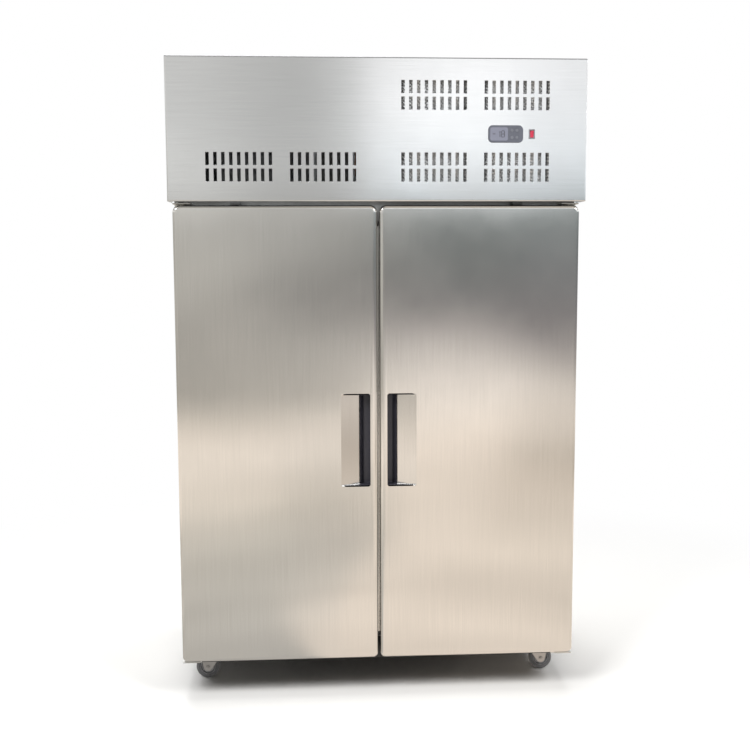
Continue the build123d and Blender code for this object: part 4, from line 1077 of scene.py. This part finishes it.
def bent_pipe(shape, route, radius, bend, sides=12, bend_steps=6):
    """Pipe or bar along straight runs, bent to one radius at each corner."""
    points = [Vector(point) for point in route]
    heading = (points[1] - points[0]).normalized()
    facing = Vector((0, 0, 1)).rotation_difference(heading).to_matrix().to_4x4()
    ring = bmesh.ops.create_circle(
        shape, cap_ends=True, segments=sides, radius=radius, matrix=Matrix.Translation(points[0]) @ facing
    )["verts"]
    here = points[0]
    for number, corner in enumerate(points[1:], start=1):
        last = number == len(points) - 1
        onward = heading if last else (points[number + 1] - corner).normalized()
        turned = heading.angle(onward)
        stop = corner - heading * bend * math.tan(turned / 2)
        if (stop - here).length > 1e-6:
            ring = verts_of(bmesh.ops.extrude_edge_only(shape, edges=edges_round(ring))["geom"])
            bmesh.ops.translate(shape, verts=ring, vec=stop - here)
        here = stop
        if turned > 1e-4:
            axis = heading.cross(onward).normalized()
            spun = bmesh.ops.spin(
                shape,
                geom=ring + edges_round(ring),
                cent=stop + axis.cross(heading) * bend,
                axis=axis,
                angle=turned,
                steps=bend_steps,
            )["geom_last"]
            ring = verts_of(spun)
            here = corner + onward * bend * math.tan(turned / 2)
            heading = onward
    bmesh.ops.contextual_create(shape, geom=edges_round(ring))
    faced_out(shape)


for side in ("left", "right"):
    grid = bmesh.new()
    left_x, right_x = strip_low.x + shelf_rod, strip_high.x - shelf_rod
    front_y, back_y = strip_low.y + shelf_rod, strip_high.y - shelf_rod
    middle_x = (left_x + right_x) / 2
    for level in range(shelf_levels):
        low_z = strip_low.z + level * shelf_rise
        frame_z = low_z + shelf_rod
        frame_route = (
            (middle_x, back_y, frame_z),
            (left_x, back_y, frame_z),
            (left_x, front_y, frame_z),
            (right_x, front_y, frame_z),
            (right_x, back_y, frame_z),
            (middle_x, back_y, frame_z),
        )
        bent_pipe(grid, frame_route, shelf_rod, frame_bend, 10, 4)
        for number in range(cross_rods):
            y = front_y + (back_y - front_y) * (number + 0.5) / cross_rods
            z = low_z + shelf_wire
            bent_pipe(grid, ((left_x, y, z), (right_x, y, z)), shelf_wire, 0, 8)
        for number in range(shelf_wires):
            x = left_x + (right_x - left_x) * (number + 1) / (shelf_wires + 1)
            z = low_z + 2 * shelf_rod - shelf_wire
            bent_pipe(grid, ((x, front_y, z), (x, back_y, z)), shelf_wire, 0, 6)
    if side == "right":
        mirrored(grid)
    fitted(f"wire_shelves_{side}", grid, rod_steel, f"shelves_{side}", f"shelves_{side}", crease=50)

# Evaporator housing: a pan of white enamelled sheet under the ceiling, with two round fan
# openings in its front, and a drip tray for its floor.
white_enamel = moulded("white_enamel", (0.74, 0.75, 0.75), 0.25, 900, 0.00001, 0.03)
housing_low, housing_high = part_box("evaporator_housing")
fan_ring, fan_collar = 0.110, 0.008
fan_level = (housing_low.z + housing_high.z) / 2
evaporator_fans = [sum(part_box(f"evaporator_fan_{side}"), Vector()) / 2 for side in ("left", "right")]


def round_edge(shape, centre, radius, segments=48):
    """Loop of edges round a circle that faces the front."""
    circle = bmesh.ops.create_circle(
        shape,
        segments=segments,
        radius=radius,
        matrix=Matrix.Translation(centre) @ Matrix.Rotation(math.pi / 2, 4, "X"),
    )
    return edges_round(circle["verts"])


housing = bmesh.new()
housing_depth = housing_high.y - housing_low.y
for centre, x_range in zip(evaporator_fans, ((housing_low.x, 0), (0, housing_high.x))):
    middle = (centre.x, housing_low.y, fan_level)
    rim = rounded_loop(housing, x_range, (housing_low.z, housing_high.z), housing_low.y, (0.0005,) * 4)
    opening = round_edge(housing, middle, fan_ring)
    bmesh.ops.bridge_loops(housing, edges=rim + opening)
    pulled(housing, opening, (0, fan_collar, 0))
bmesh.ops.remove_doubles(housing, verts=housing.verts[:], dist=0.0012)
outer_rim = [
    edge
    for edge in housing.edges
    if edge.is_boundary
    and all(abs(vert.co.y - housing_low.y) < 1e-5 for vert in edge.verts)
    and not all(vert.co.z > housing_high.z - 0.002 for vert in edge.verts)
]
pulled(housing, outer_rim, (0, housing_depth, 0))
faced_out(housing)
fitted(
    "evaporator_cover",
    housing,
    white_enamel,
    "evaporator_housing",
    "evaporator_housing",
    sheet=0.0012,
    edge=0.0008,
)

# Finger guards: rings of plated wire on crossed bars, screwed over the two fan openings of the
# evaporator housing.
guard_wire, guard_gap, guard_reach = 0.0012, 0.006, 0.118
guard_radii = (0.018, 0.036, 0.054, 0.072, 0.090, 0.1075)
guard = bmesh.new()


def wire_ring(shape, centre, radius, wire, segments=48):
    """Closed ring of round wire that faces the front."""
    section = bmesh.ops.create_circle(
        shape,
        segments=6,
        radius=wire,
        matrix=Matrix.Translation(Vector(centre) + Vector((radius, 0, 0))),
    )["verts"]
    bmesh.ops.spin(
        shape,
        geom=section + edges_round(section),
        cent=centre,
        axis=(0, 1, 0),
        angle=2 * math.pi,
        steps=segments,
        use_merge=True,
    )


for centre in evaporator_fans:
    face = Vector((centre.x, housing_low.y - guard_gap, fan_level))
    for radius in guard_radii:
        wire_ring(guard, face, radius, guard_wire)
    for arm in range(4):
        turned = math.pi / 4 + arm * math.pi / 2
        out = Vector((math.cos(turned), 0, math.sin(turned)))
        back = Vector((0, 2 * guard_wire, 0))
        foot = face + out * guard_reach
        bent_pipe(guard, (face + out * guard_radii[0] + back, foot + back), guard_wire, 0, 6)
faced_out(guard)
fitted("fan_guards", guard, zinc_steel, "evaporator_housing", crease=60)

# Evaporator and condenser: copper tubes run to and fro through thin aluminium fins, between two
# galvanised end plates. The freezer coil under the ceiling has its fins wider apart.
fin_aluminium = zinc_sheet("fin_aluminium", (0.78, 0.79, 0.8), 400)
copper = brushed_steel("copper", "X", (0.8, 0.42, 0.26), 0.3, 0.05)
tube_radius, fin_sheet = 0.005, 0.0003


def finned_coil(node, fin_pitch, tube_pitch, tube_rows, plate_depth):
    """Fins, end plates and tubes in the place of a CAD coil."""
    low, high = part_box(node)
    fins = bmesh.new()
    first_x, last_x = low.x + plate_depth, high.x - plate_depth
    count = int((last_x - first_x) / fin_pitch)
    for number in range(count):
        x = first_x + (last_x - first_x) * (number + 0.5) / count
        fin_size = (fin_sheet, high.y - low.y - 0.002, high.z - low.z - 0.002)
        bar_block(fins, (x, (low.y + high.y) / 2, (low.z + high.z) / 2), fin_size)
    fitted(node + "_fins", fins, fin_aluminium, node, node)
    plates = bmesh.new()
    for plate_x, inward in ((first_x, -1), (last_x, 1)):
        foot = [plates.verts.new((plate_x, y, low.z)) for y in (low.y, high.y)]
        web = [plates.edges.new(foot)]
        pulled(plates, web, (0, 0, high.z - low.z))
        sides = [
            edge
            for edge in plates.edges
            if abs(edge.verts[0].co.z - edge.verts[1].co.z) > 0.01
            and all(abs(vert.co.x - plate_x) < 1e-6 for vert in edge.verts)
        ]
        pulled(plates, sides, (inward * plate_depth * 0.6, 0, 0))
    fitted(node + "_plates", plates, galvanised, node, sheet=0.0012)
    tubes = bmesh.new()
    passes = int((high.z - low.z - 2 * tube_radius) / tube_pitch)
    rise = (low.z + high.z - (passes - 1) * tube_pitch) / 2
    for row in range(tube_rows):
        y = low.y + (high.y - low.y) * (row + 0.5) / tube_rows
        route = []
        for number in range(passes):
            ends = (low.x + tube_radius + 0.001, high.x - tube_radius - 0.001)
            z = rise + number * tube_pitch
            route += [(x, y, z) for x in (ends if number % 2 == 0 else ends[::-1])]
        bent_pipe(tubes, route, tube_radius, tube_pitch / 2 - 0.0001, 8, 3)
    fitted(node + "_tubes", tubes, copper, node, crease=60)


finned_coil("evaporator_coil", 0.007, 0.030, 5, 0.022)
finned_coil("condenser_coil", 0.0032, 0.025, 2, 0.020)

# Fan rotors: pressed blades of aluminium, twisted and curved back, riveted to a hub that sits on
# the motor's shaft.
rotor_hub, rotor_blades = 0.022, 5
blade_root, blade_pitch_angle = rotor_hub * 0.9, math.radians(32)
evaporator_fan_x, evaporator_reach, condenser_reach = 0.170, 0.104, 0.140
half_chord_root, half_chord_gain, tip_sweep, tip_round, blade_camber = 0.020, 0.014, 0.016, 0.010, 0.006
shroud_low, shroud_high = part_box("condenser_shroud")
fan_middle = Vector(((shroud_low.x + shroud_high.x) / 2, 0, (shroud_low.z + shroud_high.z) / 2))
blade_aluminium = zinc_sheet("blade_aluminium", (0.7, 0.71, 0.72), 500)
for node in ("evaporator_fan_left", "evaporator_fan_right", "condenser_fan"):
    low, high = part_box(node)
    centre = (low + high) / 2
    # The blades lie evenly round the hub, whose place is that of the motor's shaft.
    if node == "condenser_fan":
        centre.x, centre.z = fan_middle.x, fan_middle.z
        reach = condenser_reach
    else:
        centre.x, centre.z = math.copysign(evaporator_fan_x, centre.x), fan_level
        reach = evaporator_reach
    rotor = bmesh.new()
    bmesh.ops.create_grid(rotor, x_segments=8, y_segments=6, size=1)
    for vert in rotor.verts:
        out = (vert.co.x + 1) / 2
        across = vert.co.y
        radius = blade_root + (reach - blade_root) * out
        radius -= tip_round * out * across * across
        half_chord = half_chord_root + half_chord_gain * out
        pitch = blade_pitch_angle * (1.25 - 0.35 * out)
        swept = across * half_chord * math.cos(pitch) + tip_sweep * out * out
        turned = swept / radius
        camber = blade_camber * (1 - across * across)
        depth = across * half_chord * math.sin(pitch) - camber
        vert.co = (radius * math.cos(turned), depth, radius * math.sin(turned))
    blade = rotor.verts[:] + rotor.edges[:] + rotor.faces[:]
    bmesh.ops.spin(
        rotor,
        geom=blade,
        cent=(0, 0, 0),
        axis=(0, 1, 0),
        angle=2 * math.pi * (rotor_blades - 1) / rotor_blades,
        steps=rotor_blades - 1,
        use_duplicate=True,
    )
    bmesh.ops.translate(rotor, verts=rotor.verts[:], vec=centre)
    fitted(node + "_blades", rotor, blade_aluminium, node, node, sheet=0.0012, crease=60)
    hub = bmesh.new()
    half_hub = (high.y - low.y) / 2 * 0.55
    hub_line = (
        (0, -half_hub),
        (rotor_hub * 0.78, -half_hub),
        (rotor_hub, -half_hub * 0.7),
        (rotor_hub, half_hub * 0.8),
        (rotor_hub * 0.9, half_hub),
        (0, half_hub),
    )
    turned_round(hub, hub_line, 32, centre, axis=(0, 1, 0))
    fitted(node + "_hub", hub, case_black, node)

# Fan motors: black ribbed motors on the shafts of the fans; the one of the condenser stands on a
# folded steel pedestal on the tray.
motor_black = moulded("motor_black", (0.045, 0.045, 0.05), 0.4, 500, 0.00003)
motor_length, motor_radius, motor_shaft = 0.042, 0.029, 0.004
motor_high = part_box("fan_motors")[1]
condenser_motor_back = shroud_high.y + 0.062
motor_places = [Vector((centre.x, motor_high.y, fan_level)) for centre in evaporator_fans]
motor_places.append(Vector((fan_middle.x, condenser_motor_back, fan_middle.z)))
motor_line = [(0, 0), (motor_radius * 0.8, 0), (motor_radius * 0.92, -0.004)]
for rib in range(5):
    start = -0.006 - rib * 0.006
    motor_line += [
        (motor_radius * 0.92, start), (motor_radius, start - 0.001),
        (motor_radius, start - 0.003), (motor_radius * 0.92, start - 0.004),
    ]
motor_line += [(motor_radius * 0.85, -0.040), (0.012, -motor_length), (0.010, -motor_length - 0.004)]
motor_line += [(motor_shaft, -motor_length - 0.004), (motor_shaft, -motor_length - 0.028)]
motor_line += [(0, -motor_length - 0.028)]
motors = bmesh.new()
for point in motor_places:
    turned_round(motors, motor_line, 36, point, axis=(0, 1, 0))
fitted("ribbed_motors", motors, motor_black, "fan_motors", "fan_motors")
pedestal_width, pedestal_depth = 0.030, 0.020
pedestal = bmesh.new()
back_y = condenser_motor_back - 0.001
profile_points = (
    (fan_middle.x - pedestal_width / 2, back_y - pedestal_depth + 0.001),
    (fan_middle.x - pedestal_width / 2, back_y),
    (fan_middle.x + pedestal_width / 2, back_y),
    (fan_middle.x + pedestal_width / 2, back_y - pedestal_depth + 0.001),
)
pedestal_low = shroud_low.z + 0.0002
corners = [pedestal.verts.new((x, y, pedestal_low)) for x, y in profile_points]
pulled(
    pedestal,
    [pedestal.edges.new(pair) for pair in zip(corners, corners[1:])],
    (0, 0, fan_middle.z - motor_radius * 0.85 - pedestal_low),
)
fitted("motor_pedestal", pedestal, galvanised, "fan_motors", sheet=0.002, edge=0.0006)

# Unit tray: galvanised pan, folded up round the edge, that carries the whole condensing unit and
# stands on the deck.
redressed("unit_base", galvanised, 0.0008)

# Condenser shroud: black painted steel box behind the coil, with a round opening rolled in where
# the fan draws the air through.
unit_black = moulded("unit_black", (0.03, 0.03, 0.032), 0.32, 1200, 0.00003)
shroud_ring, shroud_corner, shroud_collar = 0.146, 0.006, 0.014
shroud = bmesh.new()
shroud_rim = rounded_loop(
    shroud,
    (shroud_low.x, shroud_high.x),
    (shroud_low.z, shroud_high.z),
    shroud_high.y,
    (shroud_corner,) * 4,
)
shroud_opening = round_edge(shroud, (fan_middle.x, shroud_high.y, fan_middle.z), shroud_ring, 64)
bmesh.ops.bridge_loops(shroud, edges=shroud_rim + shroud_opening)
pulled(shroud, shroud_rim, (0, shroud_low.y - shroud_high.y, 0))
pulled(shroud, shroud_opening, (0, -shroud_collar, 0))
faced_out(shroud)
fitted("fan_shroud", shroud, unit_black, "condenser_shroud", "condenser_shroud", sheet=0.0012, edge=0.0008)

# Compressor: a sealed pot of pressed steel in two halves, welded round the middle and painted
# black, on a plate with four rubber feet, with a terminal box on its side.
compressor_low, compressor_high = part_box("compressor")
pot_radius, pot_foot, plate_half_x, plate_half_y, plate_corner = 0.088, 0.018, 0.088, 0.070, 0.016
foot_half_x, foot_half_y = 0.075, 0.057
terminal_size, terminal_place = (0.062, 0.034, 0.055), Vector((-0.004, -0.078, 0.075))
compressor_middle = (compressor_low.y + compressor_high.y) / 2
pot_place = Vector((compressor_high.x - pot_radius, compressor_middle, compressor_low.z))
pot_height = compressor_high.z - compressor_low.z
pot_line = (
    (0, pot_foot + 0.003), (0.060, pot_foot + 0.003), (0.078, pot_foot + 0.010), (0.0855, pot_foot + 0.026),
    (0.0855, 0.108), (0.088, 0.110), (0.088, 0.117), (0.0855, 0.119), (0.0855, 0.165), (0.082, 0.186),
    (0.071, 0.203), (0.052, 0.214), (0.026, pot_height - 0.002), (0, pot_height),
)
pot = bmesh.new()
turned_round(pot, pot_line, 64, pot_place)
fitted("compressor_pot", pot, unit_black, "compressor", "compressor")
plate = bmesh.new()
plate_at = pot_place.z + pot_foot + 0.003
plate_rim = rounded_loop(
    plate,
    (pot_place.x - plate_half_x, pot_place.x + plate_half_x),
    (pot_place.y - plate_half_y, pot_place.y + plate_half_y),
    -plate_at,
    (plate_corner,) * 4,
)
bmesh.ops.contextual_create(plate, geom=plate_rim)
bmesh.ops.rotate(plate, cent=(0, 0, 0), matrix=Matrix.Rotation(math.pi / 2, 3, "X"), verts=plate.verts[:])
for vert in plate.verts:
    vert.co = (vert.co.x, abs(vert.co.y), plate_at)
if plate.faces[:][0].normal.z < 0:
    bmesh.ops.reverse_faces(plate, faces=plate.faces[:])
fitted("compressor_plate", plate, unit_black, "compressor", sheet=0.003, edge=0.0008)
feet = bmesh.new()
foot_line = ((0, 0), (0.013, 0), (0.014, 0.003), (0.009, 0.008), (0.009, 0.011), (0.013, 0.015), (0, 0.015))
for foot_x in (-foot_half_x, foot_half_x):
    for foot_y in (-foot_half_y, foot_half_y):
        centre = pot_place + Vector((foot_x, foot_y, 0))
        turned_round(feet, foot_line, 24, centre)
foot_rubber = moulded("foot_rubber", (0.05, 0.05, 0.05), 0.7, 900, 0.00005)
fitted("compressor_feet", feet, foot_rubber, "compressor")
terminal = bmesh.new()
bar_block(terminal, pot_place + terminal_place, terminal_size)
fitted("compressor_terminals", terminal, case_black, "compressor", edge=0.004, steps=3)

# Copper pipes: soldered tubes from the compressor to the coil, from the coil through a filter
# drier, and back from the cold coil below in a black foam sleeve.
pipes_low, pipes_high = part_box("copper_pipes")
pipe_rise, pipe_bend, sleeve_bend, liquid_inset = 0.048, 0.020, 0.026, 0.294
sleeve_radius, sleeve_rise, drier_radius, drier_length = 0.012, 0.090, 0.011, 0.090
sleeve_x = pipes_low.x + sleeve_radius
header_x = pipes_high.x - tube_radius
coil_back_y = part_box("condenser_coil")[1].y
liquid_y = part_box("unit_base")[0].y + liquid_inset
liquid_z = compressor_low.z + pipe_rise
drier_z = liquid_z + pipe_rise
suction_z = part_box("machine_deck")[1].z + sleeve_rise
discharge_z = pipes_high.z - tube_radius
pipes = bmesh.new()
top_of_pot = Vector((pot_place.x, pot_place.y, compressor_high.z))
bent_pipe(
    pipes,
    (top_of_pot, (pot_place.x, pot_place.y, discharge_z), (header_x, pot_place.y, discharge_z),
     (header_x, coil_back_y, discharge_z)),
    tube_radius, pipe_bend, 16,
)
bent_pipe(
    pipes,
    ((header_x, coil_back_y, liquid_z), (header_x, liquid_y, liquid_z), (sleeve_x, liquid_y, liquid_z),
     (sleeve_x, liquid_y, drier_z + drier_length), (sleeve_x, pot_place.y, drier_z + drier_length),
     (sleeve_x, pot_place.y, suction_z + sleeve_radius)),
    tube_radius, pipe_bend, 16,
)
fitted("pipe_runs", pipes, copper, "copper_pipes", "copper_pipes", crease=60)
drier = bmesh.new()
drier_line = (
    (tube_radius, 0), (tube_radius + 0.001, 0.004), (drier_radius - 0.001, 0.012), (drier_radius, 0.014),
    (drier_radius, 0.054), (drier_radius - 0.001, 0.056), (tube_radius + 0.001, 0.064), (tube_radius, 0.068),
)
drier_foot = Vector((sleeve_x, liquid_y, drier_z - 0.010))
turned_round(drier, drier_line, 32, drier_foot)
fitted("filter_drier", drier, copper, "copper_pipes", sheet=0.0005)
sleeve_foam = foamed("sleeve_foam", (0.03, 0.03, 0.032))
sleeve = bmesh.new()
bent_pipe(
    sleeve,
    ((sleeve_x, pot_place.y, pipes_low.z), (sleeve_x, pot_place.y, suction_z),
     (compressor_low.x, pot_place.y, suction_z)),
    sleeve_radius, sleeve_bend, 24, 8,
)
fitted("suction_sleeve", sleeve, sleeve_foam, "copper_pipes", crease=60)
stub = bmesh.new()
bent_pipe(
    stub,
    ((compressor_low.x - 0.004, pot_place.y, suction_z), (pot_place.x - 0.080, pot_place.y, suction_z)),
    0.008, 0, 16,
)
fitted("suction_stub", stub, copper, "compressor", crease=60)

# Electrical box: grey painted sheet steel with a lid held by four screws, and cable glands on
# its side.
box_grey = moulded("box_grey", (0.24, 0.25, 0.26), 0.45, 1200, 0.00003)
redressed("electrical_box", box_grey, 0.002, 3)
box_low, box_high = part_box("electrical_box")
box_screws = [
    ((x, box_low.y, z), (0, -1, 0))
    for x in (box_low.x + 0.012, box_high.x - 0.012)
    for z in (box_low.z + 0.012, box_high.z - 0.030)
]
screw_heads("electrical_box_screws", "electrical_box", zinc_steel, box_screws, 0.004, 0.0018)
glands = bmesh.new()
gland_line = ((0.0095, 0), (0.0095, 0.004), (0.0085, 0.005), (0.008, 0.010), (0.006, 0.013), (0.004, 0.013))
for gland_y in (-0.014, 0.014):
    start = Vector((box_high.x, (box_low.y + box_high.y) / 2 + gland_y, box_low.z + 0.030))
    turned_round(glands, gland_line, 24, start, (0, 0, 1), (1, 0, 0))
fitted("cable_glands", glands, case_black, "electrical_box", sheet=0.001)

# Castors: plated top plates with a ball race and kingpin, pressed forks, and wheels of grey
# rubber moulded round a pale nylon core, each on a nut and bolt for an axle.
# The zinc plate of the castors is darker than that of the hinges, as painted shade under the cabinet.
shaded_plated_steel = zinc_sheet("shaded_plated_steel", (0.42, 0.41, 0.4), 200)
grey_tyre = moulded("grey_tyre", (0.15, 0.15, 0.155), 0.6, 900, 0.00005)
core_nylon = moulded("core_nylon", (0.35, 0.35, 0.36), 0.4, 600, 0.00003)
redressed("castor_plates", shaded_plated_steel, 0.0008)
for node in ("castor_fork_left", "castor_fork_right", "castor_forks_rear"):
    redressed(node, shaded_plated_steel, 0.001)
wheel_radius, nut_radius, nut_height, bolt_end = 0.0375, 0.0068, 0.004, 0.0015
tread_line = (
    (0.024, -0.0125), (0.030, -0.0140), (0.034, -0.0125), (0.0365, -0.0085), (0.0375, -0.004),
    (0.0375, 0.004), (0.0365, 0.0085), (0.034, 0.0125), (0.030, 0.0140), (0.024, 0.0125),
)
core_line = (
    (0.0045, -0.0135), (0.0085, -0.0135), (0.0095, -0.0125), (0.0105, -0.006), (0.020, -0.006),
    (0.0225, -0.0118), (0.0242, -0.0122), (0.0242, 0.0122), (0.0225, 0.0118), (0.020, 0.006),
    (0.0105, 0.006), (0.0095, 0.0125), (0.0085, 0.0135), (0.0045, 0.0135),
)
for node in (
    "castor_wheel_front_left",
    "castor_wheel_front_right",
    "castor_wheel_rear_left",
    "castor_wheel_rear_right",
):
    low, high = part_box(node)
    centre = (low + high) / 2
    centre.z = wheel_radius
    out, axle = ((1, 0, 0), (0, 1, 0)) if "front" in node else ((0, 1, 0), (1, 0, 0))
    for piece, lines, finish, hidden in (
        ("tyre", tread_line, grey_tyre, (node,)),
        ("core", core_line, core_nylon, ()),
    ):
        wheel = bmesh.new()
        turned_round(wheel, lines, 56, centre, out, axle, closed=True)
        fitted(f"{node}_{piece}", wheel, finish, node, *hidden)
axle_ends = []
for node in ("castor_fork_left", "castor_fork_right"):
    low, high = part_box(node)
    wheel_low, wheel_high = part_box(node.replace("fork", "wheel_front"))
    for y, facing in ((low.y, -1), (high.y, 1)):
        axle_ends.append((node, ((wheel_low.x + wheel_high.x) / 2, y, wheel_radius), (0, facing, 0)))
for side in ("left", "right"):
    wheel_low, wheel_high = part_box(f"castor_wheel_rear_{side}")
    for x, facing in ((wheel_low.x - 0.005, -1), (wheel_high.x + 0.005, 1)):
        point = (x, (wheel_low.y + wheel_high.y) / 2, wheel_radius)
        axle_ends.append(("castor_forks_rear", point, (facing, 0, 0)))
for number, (node, point, facing) in enumerate(axle_ends, start=1):
    nut = bmesh.new()
    stud(nut, point, facing, nut_radius, nut_radius, nut_height, 6)
    stud(nut, Vector(point) + Vector(facing) * nut_height, facing, 0.0035, 0.003, bolt_end, 20)
    fitted(f"axle_nut_{number}", nut, shaded_plated_steel, node, edge=0.0005)
